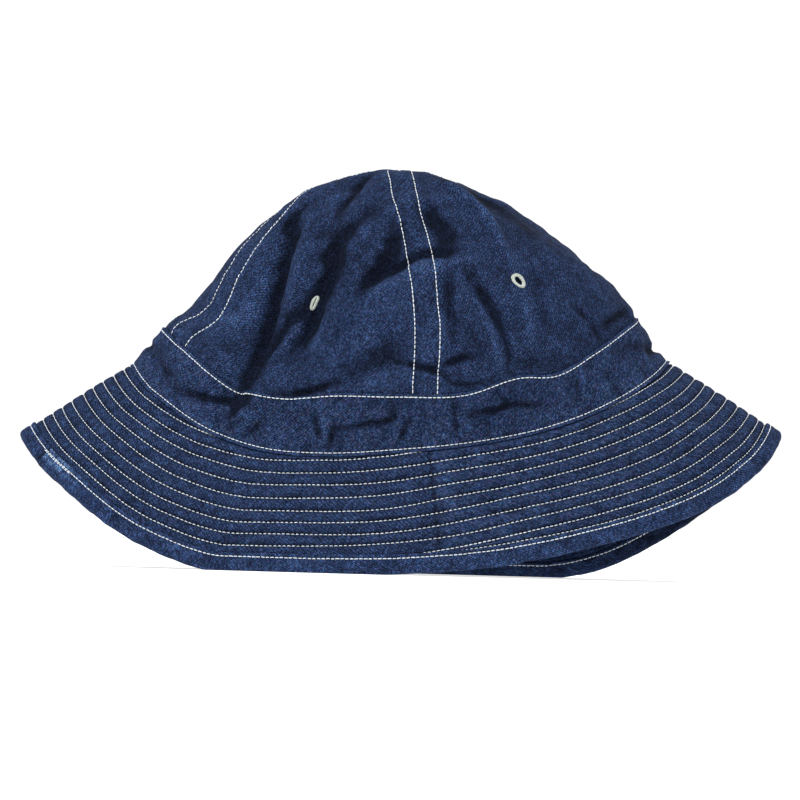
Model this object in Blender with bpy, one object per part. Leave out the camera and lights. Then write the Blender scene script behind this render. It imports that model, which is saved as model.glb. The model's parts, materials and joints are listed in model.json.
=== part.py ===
"""Denim army hat standing on its rim: four-panel crown, band, two-piece quilted brim, bound edge, sewn eyelets.

Metres, +Z up, front towards -Y, floor at z = 0. Every piece is cut from one surface, cloth_point(azimuth, level).
Azimuth is in degrees: 0 at the front, 90 at +X, 180 at the back and -90 at -X.
Level runs up the hat: -1 at the rim, 0 at the brim seam, 1 at the top of the band and 2 at the apex.
"""

import math
from collections import namedtuple

import bmesh
import bpy
import numpy as np
from mathutils import Matrix, Vector
from mathutils.bvhtree import BVHTree

# Overall sizes of the hat as it stands
HAT_HEIGHT = 0.1774
RIM_HALF_WIDTH = 0.1669
RIM_HALF_DEPTH = 0.097
RIM_RISE = 0.065
SEAM_HALF_WIDTH = 0.1169
SEAM_HALF_DEPTH = 0.071
SEAM_RISE = 0.097
CROWN_HALF_WIDTH = 0.1052
CROWN_HALF_DEPTH = 0.072
BAND_WIDTH = 0.023
BRIM_BOW = 0.0006

# Cloth and sewing
CROWN_WALL = 0.0011
BAND_WALL = 0.0012
BRIM_WALL = 0.0022
BINDING_WALL = 0.0009
BINDING_WIDTH = 0.0085
CLEARANCE = 0.0003
BAND_LAP = 0.008
RIB_RELIEF = 0.0004
POINT_OPENING = 0.0014
FLOOR_PRESS = 0.0005

# Folds: how wide and deep a full one is, how much the cloth swells beside it, and how it dies out at its ends
FOLD_WIDTH = 0.010
FOLD_DEPTH = 0.006
FOLD_SWELL_SHARE = 0.8
FOLD_TAPER_POWER = 0.7

# Sewn eyelets
EYELET_BORE = 0.0034
EYELET_SLEEVE = 0.0006
EYELET_WIDTH = 0.0072
EYELET_RISE = 0.0008
EYELET_REACH = 0.02
HOLE_DEPTH = 0.009

# How finely the curves are divided, and the steps in degrees and levels that slopes are measured over
QUILT_ROWS = 9
CROWN_LEVELS = 14
EYELET_SIDES = 10
FOLD_PIECES = 8
UNDER_SHARES = (0.8, 0.6, 0.4, 0.2)
TURN_STEP_DEGREES = 0.5
NORMAL_STEP_DEGREES = 0.36
NORMAL_STEP_LEVELS = 0.004

# Height of each edge round the hat, as shares of RIM_RISE, SEAM_RISE and BAND_WIDTH (above the seam).
# The rim touches the floor at the front left and at the back right, and lifts at both sides.
Edge = namedtuple("Edge", "azimuth rim seam band")
EDGE_ROWS = (
    (-90, 0.866, 0.922, 0.69),
    (-65, 0.590, 0.790, 0.84),
    (-42, 0.162, 0.613, 0.83),
    (-30, 0.010, 0.553, 0.94),
    (-15, 0.000, 0.537, 1.08),
    (0, 0.016, 0.561, 0.99),
    (16, 0.095, 0.603, 0.88),
    (30, 0.228, 0.661, 0.99),
    (40, 0.338, 0.718, 0.80),
    (55, 0.530, 0.820, 0.85),
    (70, 0.760, 0.920, 0.86),
    (90, 1.000, 1.000, 0.76),
    (120, 0.585, 0.850, 0.90),
    (150, 0.040, 0.640, 1.00),
    (180, 0.000, 0.600, 1.00),
    (210, 0.080, 0.600, 1.00),
    (240, 0.540, 0.750, 0.90),
)
EDGES = [Edge(*row) for row in EDGE_ROWS]

# How far the brim seam's oval stands off the middle of the rim, as a share of its half width
SEAM_LEAN_SHARE = -0.013

# Level rings of the crown: where along it each lies, its share of the rise from the band to the apex, and its
# offset, width and depth as shares of the crown's. The last row mirrors its neighbour to round the apex off.
# Above the band's mouth, the crown takes this many levels to come out to the surface.
Ring = namedtuple("Ring", "along rise lean width depth")
RING_ROWS = (
    (0.00, 0.00, -0.016, 1.000, 1.000),
    (0.11, 0.15, 0.013, 0.905, 0.985),
    (0.22, 0.30, 0.016, 0.820, 0.940),
    (0.32, 0.45, 0.000, 0.735, 0.870),
    (0.44, 0.60, -0.024, 0.623, 0.760),
    (0.56, 0.74, -0.039, 0.500, 0.620),
    (0.69, 0.86, -0.058, 0.372, 0.440),
    (0.82, 0.95, -0.046, 0.222, 0.250),
    (1.00, 1.00, -0.037, 0.000, 0.000),
    (1.18, 0.95, -0.046, -0.222, -0.250),
)
CROWN_RINGS = [Ring(*row) for row in RING_ROWS]
BAND_MOUTH_LEVELS = 0.12

# Folds of the slack cloth: each runs from its start past its middle to its end, given as azimuth and level.
# Width and depth are shares of FOLD_WIDTH and FOLD_DEPTH, and a negative depth is a ridge.
Fold = namedtuple("Fold", "name start middle end width depth")
FOLD_ROWS = (
    ("left valley", (-59, 1.56), (-46, 1.15), (-46, 0.30), 1.0, 1.00),
    ("left ridge", (-48, 1.62), (-39, 1.34), (-38, 1.06), 0.9, -0.30),
    ("eyelet valley", (-37, 1.56), (-30, 1.33), (-33, 1.12), 0.9, 0.60),
    ("top valley", (-48, 1.87), (-39, 1.74), (-36, 1.62), 0.9, 0.40),
    ("front dent", (24, 1.66), (3, 1.50), (-14, 1.34), 1.4, 0.85),
    ("right shoulder", (54, 1.84), (49, 1.62), (42, 1.39), 0.9, -0.45),
    ("right shallow valley", (14, 1.40), (14, 1.31), (13, 1.20), 0.7, 0.30),
    ("right valley", (23, 1.37), (26, 1.23), (27, 1.06), 0.8, 0.45),
    ("front crease", (3, 1.10), (10, 1.09), (18, 1.13), 0.6, 0.22),
    ("left foot crease", (-30, 1.02), (-24, 1.03), (-16, 1.06), 0.6, 0.22),
    ("left foot ridge", (-98, 1.08), (-84, 1.05), (-70, 1.02), 0.9, -0.25),
    ("right foot ridge", (74, 1.02), (86, 1.05), (98, 1.06), 0.9, -0.25),
    ("band left crease", (-60, 0.30), (-52, 0.48), (-44, 0.70), 0.7, 0.25),
    ("band right crease", (19, 0.62), (26, 0.56), (34, 0.49), 0.6, 0.20),
    ("band side crease", (72, 0.38), (84, 0.42), (96, 0.40), 0.6, 0.22),
    ("right side dent", (78, 1.60), (82, 1.40), (80, 1.20), 1.3, 0.30),
    ("back right valley", (128, 1.58), (133, 1.32), (130, 1.05), 1.0, 0.60),
    ("back dent", (168, 1.60), (186, 1.50), (203, 1.56), 1.4, 0.55),
    ("back left valley", (236, 1.60), (222, 1.32), (220, 1.02), 1.0, 0.75),
    ("back shallow valley", (205, 1.42), (202, 1.28), (206, 1.10), 0.8, 0.35),
)
FOLDS = [Fold(*row) for row in FOLD_ROWS]

# Where the crown's seams run, as azimuths at the band and at the apex. The brim is joined below the front and
# the back one.
Seam = namedtuple("Seam", "at_band at_apex")
FRONT_SEAM_DEGREES = Seam(6.6, 7.0)
RIGHT_SEAM_DEGREES = Seam(112.0, 104.0)
BACK_SEAM_DEGREES = Seam(184.0, 184.0)
LEFT_SEAM_DEGREES = Seam(290.0, 283.0)
NEXT_FRONT_SEAM_DEGREES = Seam(FRONT_SEAM_DEGREES.at_band + 360, FRONT_SEAM_DEGREES.at_apex + 360)

# Each crown panel: its two seams, how many strips it has round the hat, and its eyelet's azimuth and level
Panel = namedtuple("Panel", "name from_seam to_seam strips eyelet")
PANELS = (
    Panel("front_right", FRONT_SEAM_DEGREES, RIGHT_SEAM_DEGREES, 18, (42, 1.33)),
    Panel("back_right", RIGHT_SEAM_DEGREES, BACK_SEAM_DEGREES, 13, (147, 1.32)),
    Panel("back_left", BACK_SEAM_DEGREES, LEFT_SEAM_DEGREES, 17, (240, 1.32)),
    Panel("front_left", LEFT_SEAM_DEGREES, NEXT_FRONT_SEAM_DEGREES, 18, (330, 1.30)),
)
RIGHT_HALF = PANELS[:2]
LEFT_HALF = PANELS[2:]

DENIM = (0.016, 0.036, 0.120)
DENIM_BRIM = (0.014, 0.031, 0.105)
DENIM_TAPE = (0.020, 0.045, 0.135)
COTTON_THREAD = (0.720, 0.700, 0.610)
SHARP_EDGE = math.radians(40)


def column(rows, name):
    """One named column of a table."""
    return np.array([getattr(row, name) for row in rows], float)


def smooth_curve(knots, values, x):
    """A smooth curve through (knots, values), read at x: cubic pieces with slopes from their neighbours."""
    gaps = np.diff(knots)
    slopes = np.diff(values) / gaps
    inner = (slopes[:-1] * gaps[1:] + slopes[1:] * gaps[:-1]) / (gaps[:-1] + gaps[1:])
    tangents = np.concatenate([slopes[:1], inner, slopes[-1:]])
    piece = np.clip(np.searchsorted(knots, x, side="right") - 1, 0, len(gaps) - 1)
    gap = gaps[piece]
    t = (x - knots[piece]) / gap
    ends = (1 + 2 * t) * (1 - t) ** 2 * values[piece] + t**2 * (3 - 2 * t) * values[piece + 1]
    bends = t * (1 - t) ** 2 * tangents[piece] - t**2 * (1 - t) * tangents[piece + 1]
    return ends + bends * gap


def edge_share(name, azimuth):
    """The share of one EDGES column at this azimuth, going smoothly once round the hat."""
    knots = column(EDGES, "azimuth")
    values = column(EDGES, name)
    whole_knots = np.concatenate([knots - 360, knots, knots + 360])
    first = knots[0]
    return smooth_curve(whole_knots, np.tile(values, 3), np.mod(azimuth - first, 360) + first)


def ring_share(name, along):
    """The share of one CROWN_RINGS column this far along the crown."""
    return smooth_curve(column(CROWN_RINGS, "along"), column(CROWN_RINGS, name), along)


def oval(azimuth, middle, half_width, half_depth, height):
    """Points of an oval ring round the Z axis."""
    turn = np.radians(azimuth)
    return np.stack([middle + half_width * np.sin(turn), -half_depth * np.cos(turn), height], -1)


def plain_point(azimuth, level):
    """The hat's surface without its folds."""
    rim_height = RIM_RISE * np.maximum(edge_share("rim", azimuth), 0) - FLOOR_PRESS
    seam_height = SEAM_RISE * edge_share("seam", azimuth)
    band_height = seam_height + BAND_WIDTH * edge_share("band", azimuth)
    rim = oval(azimuth, 0, RIM_HALF_WIDTH, RIM_HALF_DEPTH, rim_height)
    seam = oval(azimuth, SEAM_LEAN_SHARE * SEAM_HALF_WIDTH, SEAM_HALF_WIDTH, SEAM_HALF_DEPTH, seam_height)
    along = np.clip(level - 1, 0, 1)
    crown = oval(
        azimuth,
        CROWN_HALF_WIDTH * ring_share("lean", along),
        CROWN_HALF_WIDTH * ring_share("width", along),
        CROWN_HALF_DEPTH * ring_share("depth", along),
        band_height + (HAT_HEIGHT - band_height) * ring_share("rise", along),
    )
    down = np.clip(-level, 0, 1)[..., None]
    up = np.clip(level, 0, 1)[..., None]
    lower = seam + (rim - seam) * down
    upper = seam + (crown - seam) * up
    return np.where((level < 0)[..., None], lower, upper)


def surface_normal(point_of, azimuth, level, side):
    """The outward normal. Side is 1 or -1, for up or down the hat, so that a seam's crease isn't averaged."""
    here = point_of(azimuth, level)
    across = point_of(azimuth + NORMAL_STEP_DEGREES, level) - point_of(azimuth - NORMAL_STEP_DEGREES, level)
    upward = side * (point_of(azimuth, level + side * NORMAL_STEP_LEVELS) - here)
    normal = np.cross(across, upward)
    return normal / np.linalg.norm(normal, axis=-1, keepdims=True)


def fold_line(fold):
    """Points of a fold's line on the plain surface: a parabola through its three places."""
    t = np.linspace(0, 1, FOLD_PIECES + 1)[:, None]
    start, middle, end = np.array((fold.start, fold.middle, fold.end), float)
    places = (1 - t) * (1 - 2 * t) * start + 4 * t * (1 - t) * middle + t * (2 * t - 1) * end
    return plain_point(places[:, 0], places[:, 1])


def fold_inset(points):
    """How far the folds push these points of the plain surface inwards."""
    inset = np.zeros(points.shape[:-1])
    for fold in FOLDS:
        line = fold_line(fold)
        nearest = np.full(inset.shape, np.inf)
        along = np.zeros(inset.shape)
        for i in range(FOLD_PIECES):
            run = line[i + 1] - line[i]
            t = np.clip(((points - line[i]) @ run) / (run @ run), 0, 1)
            distance = np.linalg.norm(points - line[i] - t[..., None] * run, axis=-1)
            closer = distance < nearest
            nearest = np.where(closer, distance, nearest)
            along = np.where(closer, (i + t) / FOLD_PIECES, along)
        across = nearest / (fold.width * FOLD_WIDTH)
        valley = (1 - FOLD_SWELL_SHARE * across**2) * np.exp(-(across**2))
        taper = np.sin(math.pi * np.clip(along, 0, 1)) ** FOLD_TAPER_POWER
        inset += fold.depth * FOLD_DEPTH * valley * taper
    return inset


def cloth_point(azimuth, level):
    """The outer face of the cloth, folds included."""
    plain = plain_point(azimuth, level)
    normal = surface_normal(plain_point, azimuth, level, 1)
    return plain - normal * fold_inset(plain)[..., None]


def cloth(azimuth, level, inset, side=1):
    """Points that lie inset below the outer face, and the normals there."""
    azimuth, level = np.broadcast_arrays(np.asarray(azimuth, float), np.asarray(level, float))
    normal = surface_normal(cloth_point, azimuth, level, side)
    return cloth_point(azimuth, level) - normal * np.asarray(inset)[..., None], normal


def collection(name):
    made = bpy.data.collections.new(name)
    bpy.context.scene.collection.children.link(made)
    return made


def material(name, colour, roughness):
    made = bpy.data.materials.new(name)
    made.use_nodes = True
    shader = made.node_tree.nodes["Principled BSDF"]
    shader.inputs["Base Color"].default_value = (*colour, 1)
    shader.inputs["Roughness"].default_value = roughness
    shader.inputs["Metallic"].default_value = 0
    made.diffuse_color = (*colour, 1)
    return made


def add_object(name, mesh, surface, into):
    mesh.materials.append(surface)
    mesh.shade_smooth()
    mesh.set_sharp_from_angle(angle=SHARP_EDGE)
    made = bpy.data.objects.new(name, mesh)
    into.objects.link(made)
    return made


def loft(name, sections, closed, paired):
    """A solid through a row of unlike closed sections: a ring if closed, and otherwise with a cap on each end.

    Paired sections go up one face of the cloth and down the other. Their caps are rungs between the two, and
    both faces are split into triangles along the same diagonals, so that nested cloths keep their clearance.
    """
    sections = np.asarray(sections)
    count, size = sections.shape[:2]
    shape = bmesh.new()
    rows = [[shape.verts.new(point) for point in section] for section in sections]
    for i in range(count if closed else count - 1):
        here, there = rows[i], rows[(i + 1) % count]
        for j in range(size):
            k = (j + 1) % size
            corners = [here[j], here[k], there[k], there[j]]
            if paired and j >= size // 2:
                corners = corners[1:] + corners[:1]
            shape.faces.new(corners[:3])
            shape.faces.new([corners[0], *corners[2:]])
    for row in [] if closed else [rows[0], rows[-1]]:
        if paired:
            for j in range(size // 2 - 1):
                shape.faces.new((row[j], row[j + 1], row[size - 2 - j], row[size - 1 - j]))
        else:
            shape.faces.new(row)
    bmesh.ops.recalc_face_normals(shape, faces=shape.faces)
    mesh = bpy.data.meshes.new(name)
    shape.to_mesh(mesh)
    shape.free()
    return mesh


def two_faced(outer, normal, wall):
    """Closed sections up the outer face of a cloth and down its inner one."""
    inner = outer - normal * wall
    return np.concatenate([outer, inner[:, ::-1]], axis=1)


def seam_azimuth(seam, level):
    """A crown seam's azimuth at this level."""
    return seam.at_band + (seam.at_apex - seam.at_band) * np.clip(level - 1, 0, 1)


def crown_foot():
    """The level of the crown's lower edge, inside the band."""
    return 1 - BAND_LAP / BAND_WIDTH


def crown_levels():
    """From the foot to where the four points meet."""
    below_apex, apex = CROWN_RINGS[-3:-1]
    tip_slope = CROWN_HALF_DEPTH * below_apex.depth / (apex.along - below_apex.along)
    tip = 2 - POINT_OPENING / tip_slope
    return np.concatenate([[crown_foot()], np.linspace(1, tip, CROWN_LEVELS)])


def crown_inset(level):
    """The crown lies inside the band, and comes out to the surface above it."""
    share = np.clip((level - 1) / BAND_MOUTH_LEVELS, 0, 1)
    return (BAND_WALL + CLEARANCE) * (1 - share * share * (3 - 2 * share))


def seam_gap(azimuth, level, turn):
    """Half the clearance between two panels, as degrees from this azimuth towards the turn."""
    pace = np.linalg.norm(plain_point(azimuth + turn, level) - plain_point(azimuth, level), axis=-1) / turn
    return CLEARANCE / 2 / pace


def crown_panel(name, panel):
    """One gore of the crown, from inside the band to the point."""
    level = crown_levels()
    first, last = seam_azimuth(panel.from_seam, level), seam_azimuth(panel.to_seam, level)
    first = first + seam_gap(first, level, TURN_STEP_DEGREES)
    last = last + seam_gap(last, level, -TURN_STEP_DEGREES)
    share = np.linspace(0, 1, panel.strips + 1)[:, None]
    azimuth = first + (last - first) * share
    level = np.broadcast_to(level, azimuth.shape)
    outer, normal = cloth(azimuth, level, crown_inset(level))
    return loft(name, two_faced(outer, normal, CROWN_WALL), closed=False, paired=True)


def ring_azimuths(panels=PANELS):
    """Where the sections lie. Every piece bends at the same azimuths, so that nested pieces stay clear."""
    ends = [(panel.from_seam.at_band, panel.to_seam.at_band, panel.strips + 1) for panel in panels]
    return np.concatenate([np.linspace(*end)[:-1] for end in ends])


def crown_band(name):
    """The band round the head, over the crown's foot."""
    lift = CLEARANCE / 2 / BAND_WIDTH
    level = np.array([lift, crown_foot() / 2, crown_foot(), 1.0])
    azimuth = ring_azimuths()[:, None]
    outer, normal = cloth(azimuth, level, 0.0)
    return loft(name, two_faced(outer, normal, BAND_WALL), closed=True, paired=True)


def binding_radius():
    """Half the thickness of the bound edge."""
    return BRIM_WALL / 2 + CLEARANCE + BINDING_WALL


def brim_frame(azimuth):
    """The brim's upper edge, its way down and its normal at each azimuth, and its width there."""
    start = plain_point(azimuth, np.zeros_like(azimuth))
    end = plain_point(azimuth, -np.ones_like(azimuth))
    width = np.linalg.norm(end - start, axis=-1)
    way = (end - start) / width[:, None]
    middle = -0.5 * np.ones_like(azimuth)
    across = plain_point(azimuth + TURN_STEP_DEGREES, middle) - plain_point(azimuth - TURN_STEP_DEGREES, middle)
    normal = np.cross(way, across)
    return start, way, normal / np.linalg.norm(normal, axis=-1, keepdims=True), width


def brim_sections(azimuth, local):
    """Sections from local points: each gives, for a brim of this width, its way down the brim and its height.

    Height 0 is the middle of the cloth: under the seam's edge at the top, and on the rim's at the end.
    """
    start, way, normal, width = brim_frame(azimuth)
    sections = []
    for i, reach in enumerate(width):
        points = []
        for down, height in local(reach):
            share = down / reach
            lift = height - BRIM_WALL / 2 * (1 - share) + BRIM_BOW * 4 * share * (1 - share)
            points.append(start[i] + way[i] * down + normal[i] * lift)
        sections.append(points)
    sections = np.array(sections)
    sections[..., 2] = np.maximum(sections[..., 2], 0)
    return sections


def brim_profile(width):
    """Quilted upper face, edge inside the binding, and a plainer under face."""
    face_end = width - BINDING_WIDTH
    edge = width - binding_radius()
    channel = face_end / (QUILT_ROWS + 0.5)
    top = [(CLEARANCE / 2, BRIM_WALL / 2)]
    for half in range(1, 2 * QUILT_ROWS + 1):
        relief = RIB_RELIEF if half % 2 else -RIB_RELIEF
        top.append((half * channel / 2, BRIM_WALL / 2 + relief))
    top.append((face_end, BRIM_WALL / 2))
    under = [(edge * share, -BRIM_WALL / 2) for share in UNDER_SHARES]
    return [*top, (edge, BRIM_WALL / 2), (edge, -BRIM_WALL / 2), *under, (CLEARANCE / 2, -BRIM_WALL / 2)]


def brim_half(name, panels):
    """Half the brim, from the front join to the back one."""
    azimuth = np.append(ring_azimuths(panels), panels[-1].to_seam.at_band)
    gap = CLEARANCE / 2 / (SEAM_HALF_WIDTH * math.radians(1))
    azimuth[0] += gap
    azimuth[-1] -= gap
    return loft(name, brim_sections(azimuth, brim_profile), closed=False, paired=False)


def binding_profile(width):
    """A tape folded round the rim, with a round fold and the brim's edge in it."""
    outside = binding_radius()
    inside = BRIM_WALL / 2 + CLEARANCE
    bend = width - outside
    top = width - BINDING_WIDTH
    slant = outside * math.sqrt(0.5)
    outer = [(top, outside), (bend, outside), (bend + slant, slant), (width, 0)]
    back = [(bend + slant, -slant), (bend, -outside), (top, -outside)]
    inner = [(top, -inside), (bend, -inside), (bend + inside, 0), (bend, inside), (top, inside)]
    return [*outer, *back, *inner]


def brim_binding(name):
    """The tape folded over the brim's edge, once round the rim."""
    azimuth = ring_azimuths()
    return loft(name, brim_sections(azimuth, binding_profile), closed=True, paired=False)


def eyelet_axes(azimuth, level):
    """An eyelet's middle on the cloth, and its matrix with +Z outwards."""
    point, normal = cloth(azimuth, level, 0.0)
    outward = Vector(normal)
    matrix = Vector((0, 0, 1)).rotation_difference(outward).to_matrix().to_4x4()
    return Matrix.Translation(Vector(point)) @ matrix


def eyelet_profile():
    """(radius, face, height over that face) round the thread: over the cloth, through the hole and back."""
    bore = EYELET_BORE / 2
    sleeve = bore + EYELET_SLEEVE
    edge = EYELET_WIDTH / 2
    crest = (sleeve + edge) / 2
    foot = CLEARANCE
    top = CLEARANCE + EYELET_RISE
    flank = (foot + top) / 2
    outside = [(sleeve, 1, foot), (edge, 1, foot), (edge, 1, flank), (crest, 1, top), (bore, 1, top / 2)]
    inside = [(radius, -1, height) for radius, _, height in reversed(outside)]
    return outside + inside


def eyelet(name, panel_mesh, axes):
    """A ring of thread that follows both faces of the panel and passes through its hole."""
    shape = bmesh.new()
    shape.from_mesh(panel_mesh)
    tree = BVHTree.FromBMesh(shape)
    shape.free()
    sections = []
    for step in range(EYELET_SIDES):
        turn = 2 * math.pi * step / EYELET_SIDES
        section = []
        for radius, face, height in eyelet_profile():
            place = Vector((radius * math.cos(turn), radius * math.sin(turn), face * EYELET_REACH))
            towards = axes.to_3x3() @ Vector((0, 0, -face))
            hit = tree.ray_cast(axes @ place, towards)[0]
            section.append(hit - towards * height)
        sections.append(section)
    return loft(name, sections, closed=True, paired=False)


def cut_hole(panel, axes, cutters):
    """A round hole through the panel for its eyelet's sleeve."""
    shape = bmesh.new()
    radius = (EYELET_BORE / 2 + EYELET_SLEEVE + CLEARANCE) / math.cos(math.pi / EYELET_SIDES)
    bmesh.ops.create_cone(
        shape, cap_ends=True, segments=EYELET_SIDES, radius1=radius, radius2=radius, depth=HOLE_DEPTH
    )
    mesh = bpy.data.meshes.new(f"{panel.name}_hole")
    shape.to_mesh(mesh)
    shape.free()
    cutter = bpy.data.objects.new(mesh.name, mesh)
    cutter.matrix_world = axes
    cutter.hide_render = True
    cutter.display_type = "WIRE"
    cutters.objects.link(cutter)
    hole = panel.modifiers.new("eyelet hole", "BOOLEAN")
    hole.operation = "DIFFERENCE"
    hole.object = cutter


def main():
    for existing in list(bpy.data.objects):
        bpy.data.objects.remove(existing, do_unlink=True)
    hat = collection("army_hat")
    cutters = collection("cutters")
    denim = material("indigo denim", DENIM, 0.85)
    brim_denim = material("quilted indigo denim", DENIM_BRIM, 0.85)
    tape = material("denim bias tape", DENIM_TAPE, 0.85)
    thread = material("off-white cotton thread", COTTON_THREAD, 0.7)

    for panel in PANELS:
        mesh = crown_panel(f"crown_panel_{panel.name}", panel)
        cloth_piece = add_object(mesh.name, mesh, denim, hat)
        axes = eyelet_axes(*panel.eyelet)
        ring = eyelet(f"eyelet_{panel.name}", mesh, axes)
        add_object(ring.name, ring, thread, hat)
        cut_hole(cloth_piece, axes, cutters)
    add_object("crown_band", crown_band("crown_band"), denim, hat)
    add_object("brim_right", brim_half("brim_right", RIGHT_HALF), brim_denim, hat)
    add_object("brim_left", brim_half("brim_left", LEFT_HALF), brim_denim, hat)
    add_object("brim_binding", brim_binding("brim_binding"), tape, hat)


main()
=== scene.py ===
"""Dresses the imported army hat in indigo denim: crown, band, quilted brim, bound edge, stitches and eyelets.

Metres, +Z up, front towards -Y, floor at z = 0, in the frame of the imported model. Azimuth is in degrees:
0 at the front, 90 at +X. Level runs up the hat: -1 at the rim, 0 at the brim seam, 1 at the band's top and
2 at the apex.
"""

import json
import math
from collections import namedtuple

import bpy
import numpy as np
from bpy.props import FloatProperty, FloatVectorProperty, IntProperty, PointerProperty
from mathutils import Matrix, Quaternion, Vector
from mathutils.bvhtree import BVHTree

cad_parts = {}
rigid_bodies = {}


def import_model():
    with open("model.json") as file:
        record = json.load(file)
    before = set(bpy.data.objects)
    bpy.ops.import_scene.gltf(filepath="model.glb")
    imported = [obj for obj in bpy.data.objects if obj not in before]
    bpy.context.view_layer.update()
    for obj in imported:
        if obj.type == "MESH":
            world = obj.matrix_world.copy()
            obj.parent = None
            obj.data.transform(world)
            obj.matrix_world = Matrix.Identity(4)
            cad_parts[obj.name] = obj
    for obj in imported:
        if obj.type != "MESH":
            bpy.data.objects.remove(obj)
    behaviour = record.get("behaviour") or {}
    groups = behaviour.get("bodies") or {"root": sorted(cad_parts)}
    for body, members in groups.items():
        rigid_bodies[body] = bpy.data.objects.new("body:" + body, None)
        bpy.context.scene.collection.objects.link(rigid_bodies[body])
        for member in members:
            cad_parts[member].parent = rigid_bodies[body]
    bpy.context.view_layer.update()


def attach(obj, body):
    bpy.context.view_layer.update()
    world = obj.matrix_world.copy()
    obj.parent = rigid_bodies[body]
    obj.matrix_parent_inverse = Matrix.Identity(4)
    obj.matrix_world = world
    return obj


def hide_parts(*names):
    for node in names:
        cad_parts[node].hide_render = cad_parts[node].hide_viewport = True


bl_info = {
    "name": "Denim army hat",
    "version": (1, 0, 0),
    "blender": (4, 5, 0),
    "location": "3D View > Sidebar > Hat",
    "description": "Makes the cloth, stitches, eyelets and stage of a denim army hat",
    "category": "Object",
}

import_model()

MM = 0.001

# Sizes of the hat, as in the part's source
HAT_HEIGHT = 0.1774
RIM_HALF_WIDTH = 0.1669
RIM_HALF_DEPTH = 0.097
RIM_RISE = 0.065
SEAM_HALF_WIDTH = 0.1169
SEAM_HALF_DEPTH = 0.071
SEAM_RISE = 0.097
SEAM_LEAN_SHARE = -0.013
CROWN_HALF_WIDTH = 0.1052
CROWN_HALF_DEPTH = 0.072
BAND_WIDTH = 0.023
BRIM_BOW = 0.0006
CROWN_WALL = 0.0011
BAND_WALL = 0.0012
BRIM_WALL = 0.0022
BINDING_WALL = 0.0009
BINDING_WIDTH = 0.0085
CLEARANCE = 0.0003
BAND_LAP = 0.008
FLOOR_PRESS = 0.0005
FOLD_WIDTH = 0.010
FOLD_DEPTH = 0.006
FOLD_SWELL_SHARE = 0.8
FOLD_TAPER_POWER = 0.7
FOLD_PIECES = 8

# Sizes that only the dressed hat has: from a crown seam to its stitches and to the end of its turned-in
# cloth, from the band's stitches to its edges, and from an eyelet's middle to its stitches and to its hole
SEAM_STITCH = 5.4 * MM
SEAM_ALLOWANCE = 6.3 * MM
BAND_TOP_EDGE = 1.4 * MM
BAND_FOOT_EDGE = 1.8 * MM
BAND_MOUTH_LEVELS = 0.055
EDGE_ROLL = 0.5 * MM
EYELET_RING = 2.9 * MM
EYELET_HOLE = 2.5 * MM
EYELET_WRAP = 1.7 * MM
EYELET_STRETCH = 1.12
QUILT_PITCH = 5.3 * MM

# Low relief: what stands up, and the grooves that the stitches pull in
ALLOWANCE_HEIGHT = 0.40 * MM
SEAM_GROOVE = 0.30 * MM
STITCH_GROOVE = 0.22 * MM
TAPE_GROOVE = 0.25 * MM
TAPE_LAP = 0.25 * MM
RIB_HEIGHT = 0.62 * MM
RIB_GROOVE = 0.30 * MM
BAND_STAND = 0.30 * MM
BAND_FOOT_STAND = 0.35 * MM
BRIM_UNDER_BAND = 1.1 * MM

# How each cloth is uneven, its puckers first: length of the waves in mm, seed, height in mm, and wear with
# painted shade, paler on the tops and darker in the hollows
Ripple = namedtuple("Ripple", "wave seed height wear")
RIPPLE_WAVES = 28
RIPPLES = {
    "crown": (Ripple(3.4, 3, 0.12, 0.30), Ripple(24, 5, 0.45, 0.13), Ripple(8, 7, 0.13, 0.15)),
    "band": (Ripple(3.6, 13, 0.12, 0.26), Ripple(15, 15, 0.28, 0.13), Ripple(7, 17, 0.12, 0.16)),
    "brim": (Ripple(2.7, 23, 0.10, 0.24), Ripple(8, 27, 0.12, 0.17)),
    "tape": (Ripple(3.4, 33, 0.12, 0.30), Ripple(12, 35, 0.14, 0.15), Ripple(5, 37, 0.06, 0.20)),
}

# Lines beside a seam, a row of stitches or an edge: where and how wide in mm, and how pale. The pale ones are
# wear; a dark one on a row of stitches is painted shade in its groove
Trace = namedtuple("Trace", "distance width paleness")
SEAM_TRACES = (Trace(0.3, 0.5, 0.30), Trace(1.6, 0.9, 0.20))
SEAM_STITCH_TRACES = (Trace(0, 0.5, -0.40), Trace(1.0, 0.6, 0.25))
BAND_TOP_TRACES = (Trace(0, 0.5, -0.45), Trace(-1.0, 0.5, 0.40))
BAND_FOOT_TRACES = (Trace(0, 0.5, -0.45), Trace(-1.3, 0.5, 0.40))
QUILT_GROOVE_SHADE = (Trace(0, 0.75, -0.60),)
TAPE_STITCH_GROOVE_SHADE = (Trace(0, 0.6, -0.40),)
TAPE_EDGE_TRACES = (Trace(0.2, 0.6, 0.40),)

Edge = namedtuple("Edge", "azimuth rim seam band")
EDGE_ROWS = (
    (-90, 0.866, 0.922, 0.69),
    (-65, 0.590, 0.790, 0.84),
    (-42, 0.162, 0.613, 0.83),
    (-30, 0.010, 0.553, 0.94),
    (-15, 0.000, 0.537, 1.08),
    (0, 0.016, 0.561, 0.99),
    (16, 0.095, 0.603, 0.88),
    (30, 0.228, 0.661, 0.99),
    (40, 0.338, 0.718, 0.80),
    (55, 0.530, 0.820, 0.85),
    (70, 0.760, 0.920, 0.86),
    (90, 1.000, 1.000, 0.76),
    (120, 0.585, 0.850, 0.90),
    (150, 0.040, 0.640, 1.00),
    (180, 0.000, 0.600, 1.00),
    (210, 0.080, 0.600, 1.00),
    (240, 0.540, 0.750, 0.90),
)
EDGES = [Edge(*row) for row in EDGE_ROWS]

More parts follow.
